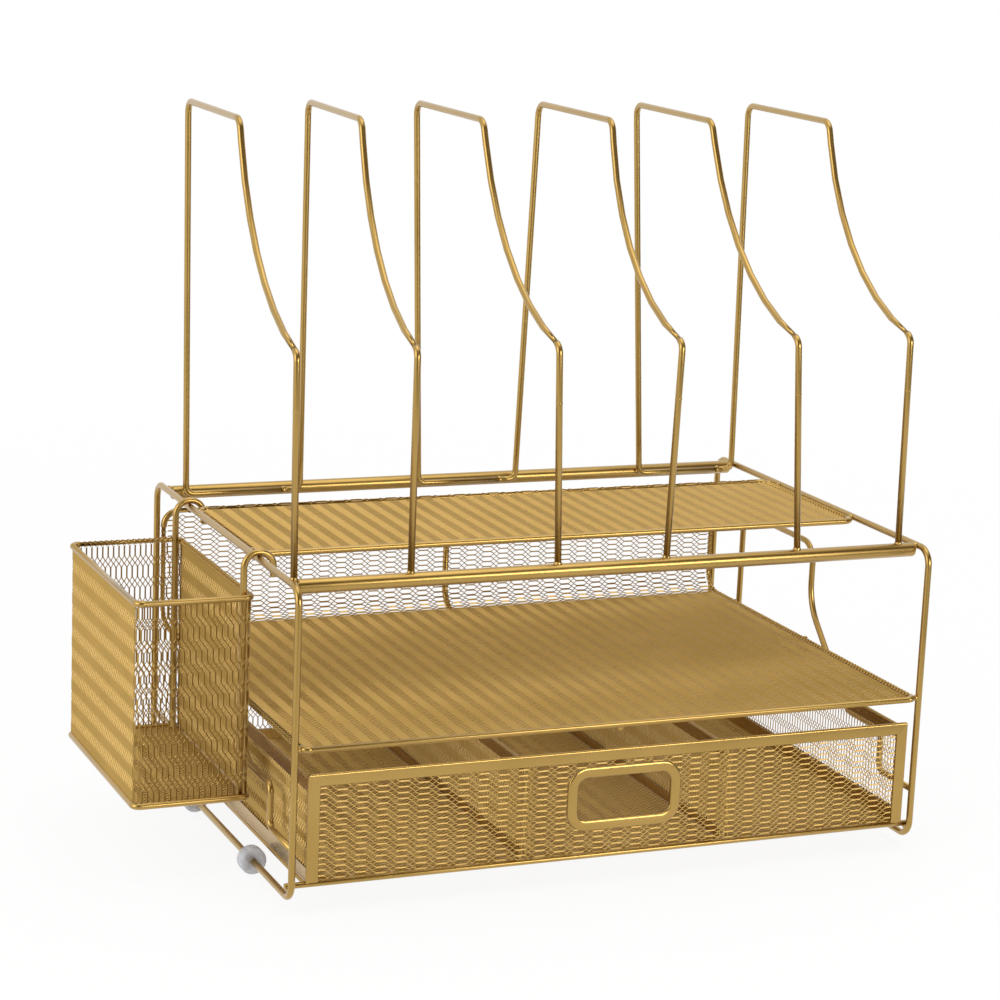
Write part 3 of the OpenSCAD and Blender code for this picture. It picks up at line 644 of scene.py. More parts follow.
def rim(node, corners, radii, edges, body="sorter"):
    """A closed rim wire. Each edge is (first corner, last corner, direction of its sheet, maker)
    and covers the wire, which is thinner there, between the bends at those corners."""
    corners = [Vector(corner) for corner in corners]
    count = len(corners)
    bends = [bend_points(corners[k - 1], corners[k], corners[(k + 1) % count], radii[k])
             for k in range(count)]
    path = []
    core = 1.0
    for k in range(count):
        path += [(point, core) for point in bends[k]]
        for number, (first, last, inward, maker) in enumerate(edges):
            if k == first:
                core = EDGE_CORE[maker]
                covered = [bends[k][-1]]
                for between in range(first + 1, last):
                    covered += bends[between]
                covered.append(bends[last % count][0])
                ahead = (covered[1] - covered[0]).normalized()
                behind = (covered[-2] - covered[-1]).normalized()
                covered[0] += ahead * EDGE_BARE
                covered[-1] += behind * EDGE_BARE
                path += [(covered[0], 1.0), (covered[0] + ahead * EDGE_STEP, core)]
                close = [(covered[-1] + behind * EDGE_STEP, core), (covered[-1], 1.0)]
                maker("%s_edge_%d" % (node, number), covered, Vector(inward), body)
            if k + 1 == last:
                path += close
                core = 1.0
    mesh = tube_mesh(node, path, RIM_WIRE, closed=True)
    add_piece(node + "_wire", mesh, WIRE_GOLD, body, [node])


upper_low, upper_high = limits("upper_shelf_rim")
upper_z = middle("upper_shelf_rim").z
upper_x = upper_high.x - rim_r
upper_front_y = upper_low.y + rim_r
upper_rear_y = upper_high.y - rim_r
rim("upper_shelf_rim",
    [(-upper_x, upper_front_y, upper_z), (upper_x, upper_front_y, upper_z),
     (upper_x, upper_rear_y, upper_z), (-upper_x, upper_rear_y, upper_z)],
    [UPPER_CORNER_R] * 4,
    [(1, 2, (-1, 0, 0), wound_edge), (2, 3, (0, -1, 0), rolled_edge), (3, 4, (1, 0, 0), wound_edge)])
level_sheet("upper_shelf_sheet", (rim_r - upper_x, upper_front_y + rim_r),
            (upper_x - rim_r, upper_rear_y - rim_r), upper_z, "sorter", "upper_shelf_mesh",
            UPPER_STRAND_TILT)


# Letter tray
# One large mesh sheet lies flat as the shelf and curves up into the back panel. Its edges are
# wrapped round one rim wire, and a support wire runs under its middle and up behind the panel.
TRAY_FRONT_R = 4 * MM
TRAY_BEND_R = 14 * MM
TRAY_TOP_R = 9 * MM
SUPPORT_WIRE = 4 * MM
SHEET_T = 1 * MM
TRAY_GAP = 0.6 * MM

tray_low, tray_high = limits("tray_rim")
tray_x = tray_high.x - rim_r
tray_z = tray_low.z + rim_r
tray_front_y = tray_low.y + rim_r
tray_back_y = tray_high.y - rim_r
tray_top_z = tray_high.z - rim_r
rim("tray_rim",
    [(-tray_x, tray_front_y, tray_z), (tray_x, tray_front_y, tray_z), (tray_x, tray_back_y, tray_z),
     (tray_x, tray_back_y, tray_top_z), (-tray_x, tray_back_y, tray_top_z), (-tray_x, tray_back_y, tray_z)],
    [TRAY_FRONT_R, TRAY_FRONT_R, TRAY_BEND_R, TRAY_TOP_R, TRAY_TOP_R, TRAY_BEND_R],
    [(0, 1, (0, 1, 0), folded_edge), (1, 3, (-1, 0, 0), wound_edge), (3, 4, (0, 0, -1), rolled_edge),
     (4, 6, (1, 0, 0), wound_edge)])
tray_half = tray_x - rim_r - TRAY_GAP
shelf_front_y = tray_front_y + rim_r
bend_y = tray_back_y - TRAY_BEND_R
bend_z = tray_z + TRAY_BEND_R
bend_arc = TRAY_BEND_R * math.pi / 2

level_sheet("tray_shelf", (-tray_half, shelf_front_y), (tray_half, bend_y), tray_z, "sorter", "tray_mesh")
panel = expanded_sheet("tray_back_panel", 2 * tray_half, bend_arc + tray_top_z - rim_r - TRAY_GAP - bend_z)
for vertex in panel.vertices:
    far, up, out = vertex.co
    angle = min(up / TRAY_BEND_R, math.pi / 2)
    radius = TRAY_BEND_R - out
    vertex.co = (far - tray_half, bend_y + radius * math.sin(angle),
                 bend_z - radius * math.cos(angle) + max(0, up - bend_arc))
add_piece("tray_back_panel", panel, None, "sorter", ["tray_mesh"])

off_sheet = (SHEET_T + SUPPORT_WIRE) / 2
wire("tray_support_wire",
     [(0, shelf_front_y, tray_z - off_sheet), (0, tray_back_y + off_sheet, tray_z - off_sheet),
      (0, tray_back_y + off_sheet, tray_top_z - rim_r)],
     [0, TRAY_BEND_R + off_sheet, 0], SUPPORT_WIRE)


# Side braces
# A bent wire in the plane of each side frame, welded to its front and rear legs. It keeps the
# letters and the drawer from slipping out at the side.
BRACE_WIRE = 3.9 * MM
BRACE_RADII = [0, 6 * MM, 6 * MM, 20 * MM, 35 * MM, 13 * MM, 13 * MM, 6 * MM, 0]
BRACE_DROP_Y = -99.5 * MM
BRACE_LOW_Z = 64 * MM
BRACE_DIAGONAL_Y = -56 * MM
BRACE_UPRIGHT_Z = 120 * MM
BRACE_REAR_Y = 97.5 * MM
brace_low, brace_high = limits("side_brace_left")
brace_foot_z = brace_low.z + BRACE_WIRE / 2
brace_top_z = brace_high.z - BRACE_WIRE / 2

for side, sign in (("left", -1), ("right", 1)):
    wire(
        "side_brace_" + side,
        [(sign * frame_x, y, z) for y, z in (
            (-leg_y, brace_foot_z), (BRACE_DROP_Y, brace_foot_z), (BRACE_DROP_Y, BRACE_LOW_Z),
            (BRACE_DIAGONAL_Y, BRACE_LOW_Z), (0, BRACE_UPRIGHT_Z), (0, brace_top_z),
            (BRACE_REAR_Y, brace_top_z), (BRACE_REAR_Y, brace_foot_z), (leg_y, brace_foot_z))],
        BRACE_RADII, BRACE_WIRE)


# Crossbars and runners
# Straight wires low in the frame: one behind the front legs, one before the rear legs, and
# between them the two on which the drawer slides. Their cut ends are slightly rounded.
CUT_END = 0.5 * MM
for node in ("front_crossbar", "rear_crossbar", "drawer_runner_left", "drawer_runner_right"):
    bar_low, bar_high = limits(node)
    bar_wire = bar_high.z - bar_low.z
    along = Vector((1, 0, 0)) if "crossbar" in node else Vector((0, 1, 0))
    half = along * (bar_high - bar_low).dot(along) / 2
    wire(node, [middle(node) - half, middle(node) + half], [0, 0], bar_wire, round_ends=CUT_END)


# Drawer front
# Mesh in a border of folded strip on the left, the top and the right, with mitred corners. The
# mesh turns back to the floor below. A pressed bezel rims the opening for the fingers.
HEM_T = 2.2 * MM
STRIP_T = 0.6 * MM
BORDER_W = 7.3 * MM
BORDER_FOLD_STEPS = 12
BORDER_SMOOTH = math.radians(40)
INNER_EDGE_R = 0.3 * MM
BORDER_CORNER_R = 1.8 * MM
MITRE_GAP = 0.06 * MM
OPENING_W = 60 * MM
OPENING_H = 26 * MM
OPENING_R = 6 * MM
BEZEL_W = 6.4 * MM
BEZEL_STEPS = 10
BEZEL_CROWN = 0.45
BEZEL_BACK = 0.3
HOLE_MARGIN = 2.2 * MM
MESH_TUCK = 2 * MM
FRONT_BEND_R = 1 * MM
FRONT_SLOT_PITCH = 12.3 * MM
FRONT_STRAND_W = 0.40 * MM
FRONT_STRAND_TILT = math.radians(-12)

STRIP_GOLD = satin_gold("strip_gold", roughness=0.24, grain=0.006 * MM)

front_low, front_high = limits("drawer_front_border")
front_y = middle("drawer_front_border").y
front_t = front_high.y - front_low.y


def border_bar(name, outer_a, outer_b, inward, mitres):
    """One folded side of the border between two outer corners. Its outer edge is round. An end
    with a mitre is cut at 45 degrees, apart from the rounding of the border's corner."""
    along = (outer_b - outer_a).normalized()
    inward = Vector(inward)
    half = front_t / 2
    section = [(half - half * math.sin(a), half * math.cos(a)) for a in angles(math.pi, BORDER_FOLD_STEPS)]
    section += [(BORDER_W - INNER_EDGE_R, -half), (BORDER_W, -half + INNER_EDGE_R),
                (BORDER_W, half - INNER_EDGE_R), (BORDER_W - INNER_EDGE_R, half)]

    def setback(inset):
        into = max(0, BORDER_CORNER_R - inset)
        return MITRE_GAP + max(inset, BORDER_CORNER_R - math.sqrt(BORDER_CORNER_R ** 2 - into ** 2))

    mesh = bar_mesh(name, *(
        [corner + way * along * setback(u) + inward * u + Vector((0, d, 0)) for u, d in section]
        for corner, way in ((outer_a, mitres[0]), (outer_b, -mitres[1]))))
    for face in mesh.polygons:
        face.use_smooth = len(face.vertices) == 4
    mesh.set_sharp_from_angle(angle=BORDER_SMOOTH)
    add_piece(name, mesh, STRIP_GOLD, "drawer", ["drawer_front_border"])


low_left = Vector((front_low.x, front_y, front_low.z))
low_right = Vector((front_high.x, front_y, front_low.z))
high_left = Vector((front_low.x, front_y, front_high.z))
high_right = Vector((front_high.x, front_y, front_high.z))
border_bar("front_border_right", low_right, high_right, (-1, 0, 0), (0, 1))
border_bar("front_border_top", high_right, high_left, (0, 0, -1), (1, 1))
border_bar("front_border_left", high_left, low_left, (1, 0, 0), (1, 0))

handle = middle("handle_bezel")
floor_z = middle("drawer_floor_mesh").z
wall_front_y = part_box("drawer_bottom_hem")[0][1]
side_margin = BORDER_W - MESH_TUCK
mesh_left = front_low.x + side_margin
lip = wall_front_y - front_y - FRONT_BEND_R
bend_length = FRONT_BEND_R * math.pi / 2
mesh_start = floor_z + FRONT_BEND_R - lip - bend_length
hole_half_w = OPENING_W / 2 + HOLE_MARGIN
hole_half_h = OPENING_H / 2 + HOLE_MARGIN
sheet = expanded_sheet(
    "drawer_front_sheet", front_high.x - side_margin - mesh_left, front_high.z - side_margin - mesh_start,
    FRONT_SLOT_PITCH, bar_points=3, tilt=FRONT_STRAND_TILT, strand_w=FRONT_STRAND_W,
    hole=(handle.x - mesh_left - hole_half_w, handle.x - mesh_left + hole_half_w,
          handle.z - mesh_start - hole_half_h, handle.z - mesh_start + hole_half_h))
for vertex in sheet.vertices:
    across, up, out = vertex.co
    angle = min(max(up - lip, 0) / FRONT_BEND_R, math.pi / 2)
    radius = FRONT_BEND_R + out
    vertex.co = (mesh_left + across,
                 front_y + FRONT_BEND_R - radius * math.sin(angle) + max(0, lip - up),
                 floor_z + FRONT_BEND_R - radius * math.cos(angle) + max(0, up - lip - bend_length))
add_piece("drawer_front_sheet", sheet, None, "drawer", ["drawer_front_mesh"])


def round_box(width, height, radius, steps):
    """Points (across, up) of a rounded rectangle round the origin."""
    points = []
    for quarter, (sx, sy) in enumerate(((1, 1), (-1, 1), (-1, -1), (1, -1))):
        for a in angles(math.pi / 2, steps):
            angle = quarter * math.pi / 2 + a
            points.append((sx * (width / 2 - radius) + radius * math.cos(angle),
                           sy * (height / 2 - radius) + radius * math.sin(angle)))
    return points


def bezel_section(thickness):
    """Closed outline of the bezel's section as (margin, depth): a crowned front, a flat back."""
    half = thickness / 2
    turn = angles(math.pi, BEZEL_STEPS)
    front = [(BEZEL_W * (1 - math.cos(a)) / 2, -half * math.sin(a) ** BEZEL_CROWN) for a in turn]
    back = [(BEZEL_W * (1 + math.cos(a)) / 2, half * math.sin(a) ** BEZEL_BACK) for a in turn[1:-1]]
    return front + back


bezel_low, bezel_high = limits("handle_bezel")
rings = []
for margin, depth in bezel_section(bezel_high.y - bezel_low.y):
    outline = round_box(OPENING_W + 2 * margin, OPENING_H + 2 * margin, OPENING_R + margin, BEZEL_STEPS)
    rings.append([Vector((handle.x + x, front_y + depth, handle.z + z)) for x, z in outline])
bezel = ring_mesh("handle_bezel_ring", rings)
for face in bezel.polygons:
    face.use_smooth = True
add_piece("handle_bezel_ring", bezel, STRIP_GOLD, "drawer", ["handle_bezel"])


# Drawer walls, floor and partitions
# Mesh sheets with folded strips pressed over their edges. The slots stand upright in the walls
# and run across in the floor. Each partition has a narrow mesh flange behind the drawer's front.
TOP_HEM_H = 8 * MM
BOTTOM_HEM_H = 9 * MM
PARTITION_HEM_H = 6.5 * MM
HEM_FOLD_STEPS = 6
SHEET_INSET = 2 * STRIP_T
FLANGE_W = 6 * MM

wall_low, wall_high = limits("drawer_bottom_hem")
hem_top_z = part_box("drawer_top_hem")[1][2]
wall_x = wall_high.x - HEM_T / 2
wall_rear_y = wall_high.y
rear_wall_y = wall_rear_y - HEM_T / 2
inner_x = wall_x - HEM_T / 2
inner_rear_y = wall_rear_y - HEM_T


def folded_hem(name, start, end, height, opening, node):
    """A folded strip from start to end, its closed edge there, that opens up (1) or down (-1)."""
    along = (Vector(end) - Vector(start)).normalized()
    across = along.cross(Vector((0, 0, 1)))
    half = HEM_T / 2
    slot = half - STRIP_T
    outline = [(half, height)]
    outline += [(half * math.cos(a), half - half * math.sin(a)) for a in angles(math.pi, HEM_FOLD_STEPS)]
    outline += [(-half, height), (-slot, height), (-slot, SHEET_INSET), (slot, SHEET_INSET), (slot, height)]
    mesh = bar_mesh(name, *(
        [Vector(at) + across * u + Vector((0, 0, opening * v)) for u, v in outline] for at in (start, end)))
    add_piece(name, mesh, STRIP_GOLD, "drawer", [node])


def upright_sheet(name, start, across, low_z, width, node, tilt):
    """A mesh sheet that stands on low_z, less the hems' folds, from a place (x, y) across width."""
    mesh = expanded_sheet(name, hem_top_z - low_z - 2 * SHEET_INSET, width, tilt=tilt)
    laid(mesh, Vector((*start, low_z + SHEET_INSET)), (0, 0, 1), across)
    add_piece(name, mesh, None, "drawer", [node])


def hemmed_wall(start, end, low_z, foot_h, top, foot, sheet, tilt=STRAND_TILT):
    """A mesh wall between two places (x, y), with a hem on its top and on its foot. Top, foot and
    sheet are each a piece's name and the CAD node that it replaces."""
    folded_hem(top[0], (*start, hem_top_z), (*end, hem_top_z), TOP_HEM_H, -1, top[1])
    folded_hem(foot[0], (*start, low_z), (*end, low_z), foot_h, 1, foot[1])
    across = (end[0] - start[0], end[1] - start[1], 0)
    upright_sheet(sheet[0], start, across, low_z, math.dist(start, end), sheet[1], tilt)


for side, sign in (("left", -1), ("right", 1)):
    x = sign * wall_x
    hemmed_wall((x, wall_front_y), (x, wall_rear_y), wall_low.z, BOTTOM_HEM_H,
                ("top_hem_" + side, "drawer_top_hem"), ("bottom_hem_" + side, "drawer_bottom_hem"),
                ("side_sheet_" + side, "drawer_side_mesh_" + side), -sign * STRAND_TILT)
hemmed_wall((-inner_x, rear_wall_y), (inner_x, rear_wall_y), wall_low.z, BOTTOM_HEM_H,
            ("top_hem_rear", "drawer_top_hem"), ("bottom_hem_rear", "drawer_bottom_hem"),
            ("rear_sheet", "drawer_rear_mesh"))

level_sheet("drawer_floor_sheet", (-inner_x, wall_front_y), (inner_x, inner_rear_y), floor_z, "drawer",
            "drawer_floor_mesh")

for side in ("left", "right"):
    x = middle("partition_mesh_" + side).x
    part_low_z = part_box("partition_hems_" + side)[0][2]
    hemmed_wall((x, wall_front_y), (x, inner_rear_y), part_low_z, PARTITION_HEM_H,
                ("partition_top_" + side, "partition_hems_" + side),
                ("partition_foot_" + side, "partition_hems_" + side),
                ("partition_sheet_" + side, "partition_mesh_" + side))
    upright_sheet("partition_flange_" + side, (x, (front_y + wall_front_y) / 2), (1, 0, 0), part_low_z,
                  FLANGE_W, "partition_mesh_" + side, 0.0)


# Hanging basket
# A mesh wall bent round four corners, with a mesh floor. Its upper edge is wound or folded round
# the rim wire. Two wires run up from the floor and hook over the left side frame's top wire.
BASKET_CORNER_R = 4.2 * MM
BASKET_SLOT_PITCH = 13.4 * MM
BASKET_STRAND_TILT = math.radians(40)
HOOK_WIRE = 4 * MM
HOOK_TIP_DROP = 10.75 * MM

rim_low, rim_high = limits("basket_top_rim")
basket = middle("basket_top_rim")
basket_bottom_z = middle("basket_bottom_rim").z
half_w = (rim_high.x - rim_low.x - RIM_WIRE) / 2
half_len = (rim_high.y - rim_low.y - RIM_WIRE) / 2


def basket_corners(z):
    """Corners of a rim wire at that height, from the left front one."""
    return [(basket.x + sx * half_w, sy * half_len, z) for sx, sy in ((-1, -1), (1, -1), (1, 1), (-1, 1))]


down = (0, 0, -1)
rim("basket_top_rim", basket_corners(basket.z), [BASKET_CORNER_R] * 4,
    [(0, 1, down, folded_edge), (1, 2, down, wound_edge), (2, 3, down, wound_edge),
     (3, 4, down, folded_edge)], "basket")
rim("basket_bottom_rim", basket_corners(basket_bottom_z), [BASKET_CORNER_R] * 4, [], "basket")

corner_arc = BASKET_CORNER_R * math.pi / 2
runs = [2 * (half_len - BASKET_CORNER_R), 2 * (half_w - BASKET_CORNER_R)] * 2
around = sum(runs) + 4 * corner_arc


def round_basket(distance, out):
    """Place in plan on the basket's wall, a distance round it from the left front corner's end."""
    heading = Vector((0, 1))
    at = Vector((basket.x - half_w, -half_len + BASKET_CORNER_R))
    for run in runs:
        outward = Vector((-heading.y, heading.x))
        if distance <= run:
            return at + heading * distance + outward * out
        distance -= run
        at = at + heading * run
        if distance <= corner_arc:
            angle = distance / BASKET_CORNER_R
            centre = at - outward * BASKET_CORNER_R
            return centre + (BASKET_CORNER_R + out) * (outward * math.cos(angle) + heading * math.sin(angle))
        distance -= corner_arc
        at = at + (heading - outward) * BASKET_CORNER_R
        heading = Vector((heading.y, -heading.x))
    return at + Vector((-heading.y, heading.x)) * out


wall_bottom = basket_bottom_z + rim_r
sheet = expanded_sheet("basket_wall_sheet", basket.z - basket_bottom_z - RIM_WIRE, around,
                       BASKET_SLOT_PITCH, tilt=BASKET_STRAND_TILT)
for vertex in sheet.vertices:
    rise, distance, out = vertex.co
    place = round_basket(min(max(distance, 0), around), out)
    vertex.co = (place.x, place.y, wall_bottom + rise)
add_piece("basket_wall_sheet", sheet, None, "basket", ["basket_wall_mesh"])
level_sheet("basket_floor_sheet", (basket.x - half_w + rim_r, rim_r - half_len),
            (basket.x + half_w - rim_r, half_len - rim_r), basket_bottom_z, "basket", "basket_floor_mesh")

hook_far_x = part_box("basket_hook_front")[0][0] + HOOK_WIRE / 2
hook_arch_r = -frame_x - hook_far_x
hook_crown_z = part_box("basket_hook_front")[1][2] - HOOK_WIRE / 2
for node in ("basket_hook_front", "basket_hook_rear"):
    y = middle(node).y
    wire(node,
         [(hook_far_x, y, basket_bottom_z + SHEET_T / 2), (hook_far_x, y, hook_crown_z),
          (hook_far_x + 2 * hook_arch_r, y, hook_crown_z),
          (hook_far_x + 2 * hook_arch_r, y, top_z - HOOK_TIP_DROP)],
         [0, hook_arch_r, hook_arch_r, 0], HOOK_WIRE, body="basket", round_ends=CUT_END)


# Welds
# Where wires cross or end they are resistance- or bead-welded before coating, which leaves small
# uneven beads. Each divider's front leg also has a butt weld part of the way up.
SMALL_BEAD = 1.9 * MM
LARGE_BEAD = 2.4 * MM
BEAD_SUBDIVISIONS = 3
BEAD_UNEVENNESS = 1.2 * MM
BEAD_NOISE_SCALE = 420.0
BEAD_TURN = 6.28
BEAD_SEED = 7
FRONT_BEAD_SINK = 0.2 * MM
REAR_BEAD_RISE = 0.5 * MM
SHELF_WELD_SHARE = 0.75
BUTT_HEIGHT = 93 * MM
BUTT_LENGTH = 1.5 * MM
BUTT_PROUD = 0.35 * MM
BUTT_ROUND = 0.6 * MM


def weld_tree():
    """An uneven bead on every point of a mesh, of the size that the point's bead attribute gives."""
    tree, port, leave = field_tree("Weld beads", ["Unevenness", "Noise Scale"])
    points = port["Geometry"]
    ball = points.node("GeometryNodeMeshIcoSphere", inputs={"Radius": 1.0, "Subdivisions": BEAD_SUBDIVISIONS})
    size = points.node("GeometryNodeInputNamedAttribute", {"data_type": "FLOAT"}, {"Name": "bead"})
    turn = points.node("FunctionNodeRandomValue", {"data_type": "FLOAT_VECTOR"},
                       {"Min": (0, 0, 0), "Max": [BEAD_TURN] * 3, "Seed": BEAD_SEED})
    beads = points.node("GeometryNodeInstanceOnPoints",
                        inputs={"Points": points, "Instance": ball, "Rotation": turn, "Scale": size})
    whole = points.node("GeometryNodeRealizeInstances", inputs={"Geometry": beads})
    place = points.node("GeometryNodeInputPosition")
    bumps = place.noise(port["Noise Scale"], 2.0)
    normal = points.node("GeometryNodeInputNormal")
    push = points.node("ShaderNodeVectorMath", {"operation": "SCALE"},
                       {0: normal, "Scale": (bumps - 0.5) * port["Unevenness"]})
    uneven = points.node("GeometryNodeSetPosition", inputs={"Geometry": whole, "Offset": push})
    smooth = points.node("GeometryNodeSetShadeSmooth", inputs={"Geometry": uneven})
    done = points.node("GeometryNodeSetMaterial", inputs={"Geometry": smooth, "Material": port["Material"]})
    feed(leave, "Geometry", done)
    return tree


WELDS = weld_tree()


def weld_beads(name, beads, body):
    """Beads at (place, radius) pairs."""
    mesh = bpy.data.meshes.new(name)
    mesh.from_pydata([place for place, radius in beads], [], [])
    sizes = mesh.attributes.new("bead", "FLOAT", "POINT")
    for at, (place, radius) in zip(sizes.data, beads):
        at.value = radius
    values = {"Unevenness": BEAD_UNEVENNESS, "Noise Scale": BEAD_NOISE_SCALE, "Material": WIRE_GOLD}
    add_piece(name, through_nodes(name, WELDS, values, mesh), None, body)


runner = middle("drawer_runner_right")
sorter_beads = []
for k in range(6):
    foot = divider_point(k, 0, 0)
    rear = divider_point(k, divider_depth, rail_z - rail_crown)
    sorter_beads += [(foot - Vector((0, 0, FRONT_BEAD_SINK)), LARGE_BEAD),
                     (rear + Vector((0, DIVIDER_WIRE / 2, REAR_BEAD_RISE)), SMALL_BEAD)]
sorter_beads += [(end, LARGE_BEAD) for end in foot_ends[::2]]
for sign in (-1, 1):
    inner = sign * (frame_x - frame_wire / 2)
    for y in (rail_front_y, rail_rear_y):
        sorter_beads.append(((inner, y, rail_z + rail_tube / 4), LARGE_BEAD))
    for y in (-SHELF_WELD_SHARE * upper_rear_y, SHELF_WELD_SHARE * upper_rear_y):
        sorter_beads.append(((inner, y, upper_z + rim_r / 2), SMALL_BEAD))
    for y in (0, BRACE_REAR_Y):
        sorter_beads.append(((inner, y, tray_z), SMALL_BEAD))
    for y in (frame_wire / 2 - leg_y, leg_y - frame_wire / 2):
        sorter_beads.append(((sign * frame_x, y, brace_foot_z), SMALL_BEAD))
    sorter_beads.append(((inner, -leg_y, tray_z), SMALL_BEAD))
    for bar in (middle("front_crossbar"), middle("rear_crossbar")):
        runner_y = bar.y - math.copysign(bar_wire / 2, bar.y)
        sorter_beads += [((sign * frame_x, bar.y, bar.z - bar_wire / 2), SMALL_BEAD),
                         ((sign * runner.x, runner_y, bar.z), SMALL_BEAD)]
sorter_beads += [((0, shelf_front_y, tray_z - off_sheet / 2), SMALL_BEAD),
                 ((0, tray_back_y + off_sheet / 2, tray_top_z - rim_r), SMALL_BEAD)]
weld_beads("sorter_welds", sorter_beads, "sorter")

hooks = [middle(node) for node in ("basket_hook_front", "basket_hook_rear")]
weld_beads("basket_welds",
           [((hook_far_x + HOOK_WIRE / 2, hook.y, z), SMALL_BEAD)
            for hook in hooks for z in (basket.z, basket_bottom_z)], "basket")

for k in range(6):
    low = divider_point(k, 0, BUTT_HEIGHT)
    high = divider_point(k, 0, BUTT_HEIGHT + BUTT_LENGTH)
    ring = tube_mesh("divider_butt", [low, high], DIVIDER_WIRE + BUTT_PROUD, round_ends=BUTT_ROUND)
    add_piece("divider_butt_%d" % (k + 1), ring, WIRE_GOLD, "sorter")


# Floor, light and camera
# A plain white floor in a pale room with three soft lamps, seen from the photograph's place.
# Behind the camera the room is dim, and the floor there has painted shade, a darker colour and a fainter
# glow, so that the metal mirrors some dark as well.
CAMERA_AT = Vector((-696.6, -1571.4, 577.2)) * MM
CAMERA_AZIMUTH = math.radians(-23.214)
CAMERA_ELEVATION = math.radians(12.450)
CAMERA_ROLL = math.radians(2.421)
FOCAL_PIXELS = 2845.45
PICTURE_PIXELS = 1000
SENSOR = 36.0
CAMERA_REACH = 50
FLOOR_HALF = 6
FLOOR_WHITE = 0.88
FLOOR_FADE = 1.6
FLOOR_ALBEDO = 0.9
FLOOR_PAINTED_SHADE = 0.22
FLOOR_LIT_WAY = (-0.8, 1.6, 0.0)
FLOOR_LIT_FROM = 1.7
ROOM_LEVEL = 0.12
ROOM_SHADE = (1.0, 0.80, 0.52)
ROOM_LIT_WAY = (-0.7, 1.8, 0.5)
ROOM_LIT_FROM = 0.8
ROOM_SEEN = 4.0
WHITE = (1.0, 1.0, 1.0)
LAMPS_FACE = Vector((0, 0, 0.2))

back = Vector((
    math.sin(CAMERA_AZIMUTH) * math.cos(CAMERA_ELEVATION),
    -math.cos(CAMERA_AZIMUTH) * math.cos(CAMERA_ELEVATION),
    math.sin(CAMERA_ELEVATION)))
level = (-back).cross(Vector((0, 0, 1))).normalized()
lift = level.cross(-back)
right = level * math.cos(CAMERA_ROLL) + lift * math.sin(CAMERA_ROLL)
up = lift * math.cos(CAMERA_ROLL) - level * math.sin(CAMERA_ROLL)
camera_data = bpy.data.cameras.new("camera")
camera_data.sensor_width = SENSOR
camera_data.lens = SENSOR * FOCAL_PIXELS / PICTURE_PIXELS
camera_data.clip_end = CAMERA_REACH
camera = bpy.data.objects.new("camera", camera_data)
camera.matrix_world = Matrix.Translation(CAMERA_AT) @ Matrix((right, up, back)).transposed().to_4x4()
bpy.context.scene.collection.objects.link(camera)
bpy.context.scene.camera = camera


def rays_of(tree, *kinds):
    """Sum that is 1 for rays of these kinds."""
    path = tree.nodes.new("ShaderNodeLightPath")
    return sum(Sum(tree, path.outputs["Is %s Ray" % kind]) for kind in kinds).clamped()


def distance_along(place, way):
    """How far a place lies along a direction, times that direction's length."""
    return place.node("ShaderNodeVectorMath", {"operation": "DOT_PRODUCT"}, {0: place, 1: way}, out=1)


floor_mesh = bpy.data.meshes.new("floor")
floor_corners = [(FLOOR_HALF * sx, FLOOR_HALF * sy, 0) for sx, sy in ((-1, -1), (1, -1), (1, 1), (-1, 1))]
floor_mesh.from_pydata(floor_corners, [], [(0, 1, 2, 3)])
floor = bpy.data.objects.new("floor", floor_mesh)
bpy.context.scene.collection.objects.link(floor)
floor_material, floor_shader, floor_place = start_material("floor_white")
floor_shader.inputs["Roughness"].default_value = 1.0
floor_shader.inputs["Specular IOR Level"].default_value = 0.0
floor_tree = floor_place.tree
glow = floor_place.node("ShaderNodeEmission", inputs={"Color": (*WHITE, 1), "Strength": 1.0})
distance = floor_place.node("ShaderNodeVectorMath", {"operation": "LENGTH"}, {0: floor_place}, out=1)
white = FLOOR_WHITE + (1.0 - FLOOR_WHITE) * (distance / FLOOR_FADE).clamped()
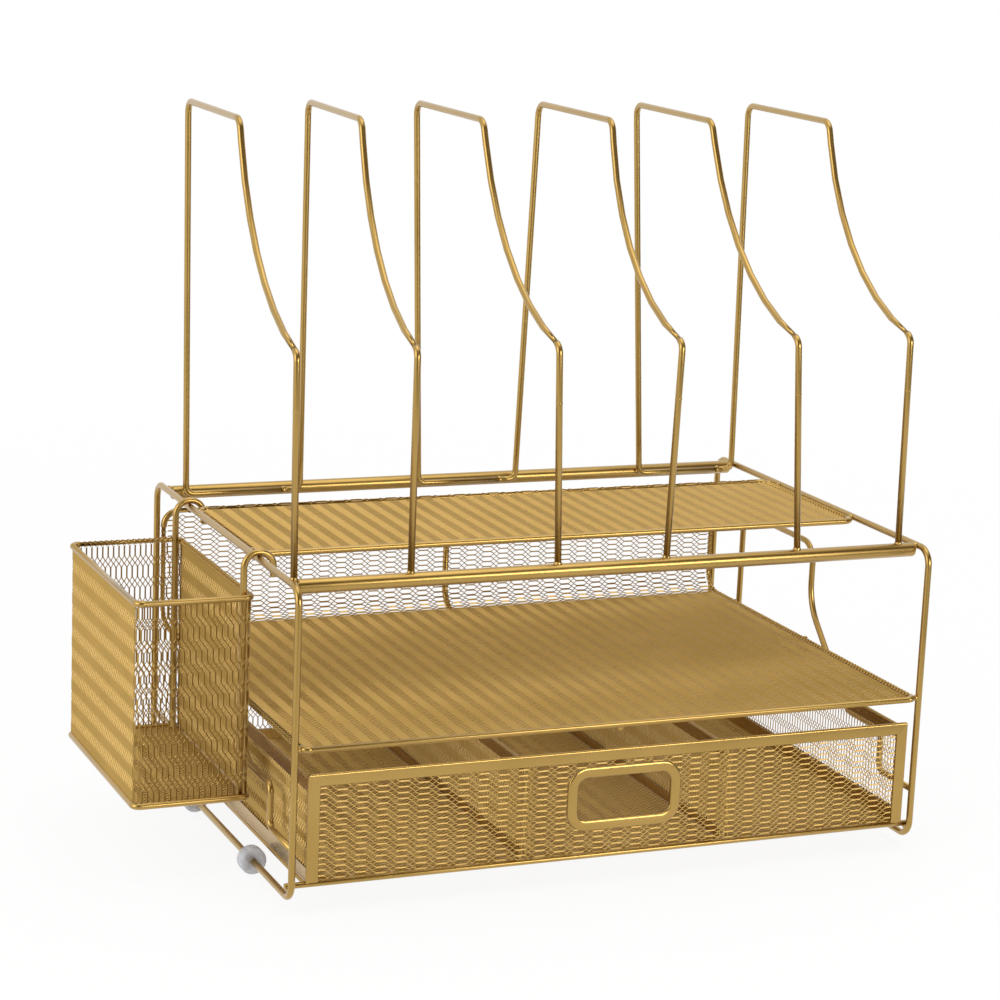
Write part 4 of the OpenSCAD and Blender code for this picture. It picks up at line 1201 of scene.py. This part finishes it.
# Painted shade: towards the front and the right the floor's colour darkens and the glow that the metal
# mirrors fades, standing in for a dark room.
lit = (distance_along(floor_place, FLOOR_LIT_WAY) + FLOOR_LIT_FROM).clamped()
feed(floor_shader, "Base Color", FLOOR_PAINTED_SHADE + (FLOOR_ALBEDO - FLOOR_PAINTED_SHADE) * lit)
glows = white * (lit + rays_of(floor_tree, "Camera")).clamped()
shows = rays_of(floor_tree, "Camera", "Glossy", "Transmission")
matte = Sum(floor_tree, floor_shader.outputs["BSDF"])
mix = floor_place.node("ShaderNodeMixShader", inputs={"Fac": glows * shows, 1: matte, 2: glow})
feed(floor_tree.nodes["Material Output"], "Surface", mix)
floor_mesh.materials.append(floor_material)

world = bpy.data.worlds.new("studio")
bpy.context.scene.world = world
world.use_nodes = True
world_tree = world.node_tree
background = world_tree.nodes["Background"]
outlook = Sum(world_tree, world_tree.nodes.new("ShaderNodeTexCoord").outputs["Generated"])
room_lit = distance_along(outlook, ROOM_LIT_WAY) + ROOM_LIT_FROM
bright = (room_lit + rays_of(world_tree, "Camera") * ROOM_SEEN).clamped()
feed(background, "Color", bright.colour(ROOM_SHADE, WHITE))
feed(background, "Strength", ROOM_LEVEL + (1.0 - ROOM_LEVEL) * bright)


def soft_box(name, place, width, height, power):
    """A rectangular lamp that faces the object's middle."""
    lamp_data = bpy.data.lights.new(name, "AREA")
    lamp_data.shape = "RECTANGLE"
    lamp_data.size = width
    lamp_data.size_y = height
    lamp_data.energy = power
    lamp = bpy.data.objects.new(name, lamp_data)
    lamp.location = place
    lamp.rotation_euler = (LAMPS_FACE - Vector(place)).to_track_quat("-Z", "Y").to_euler()
    bpy.context.scene.collection.objects.link(lamp)


soft_box("key_light", place=(-2.4, -0.7, 1.0), width=1.6, height=1.6, power=19)
soft_box("top_light", place=(0.4, -0.3, 2.4), width=1.9, height=1.9, power=15)
soft_box("front_light", place=(0.9, -2.2, 0.6), width=1.6, height=0.7, power=26)

bpy.context.scene.view_settings.view_transform = "Standard"
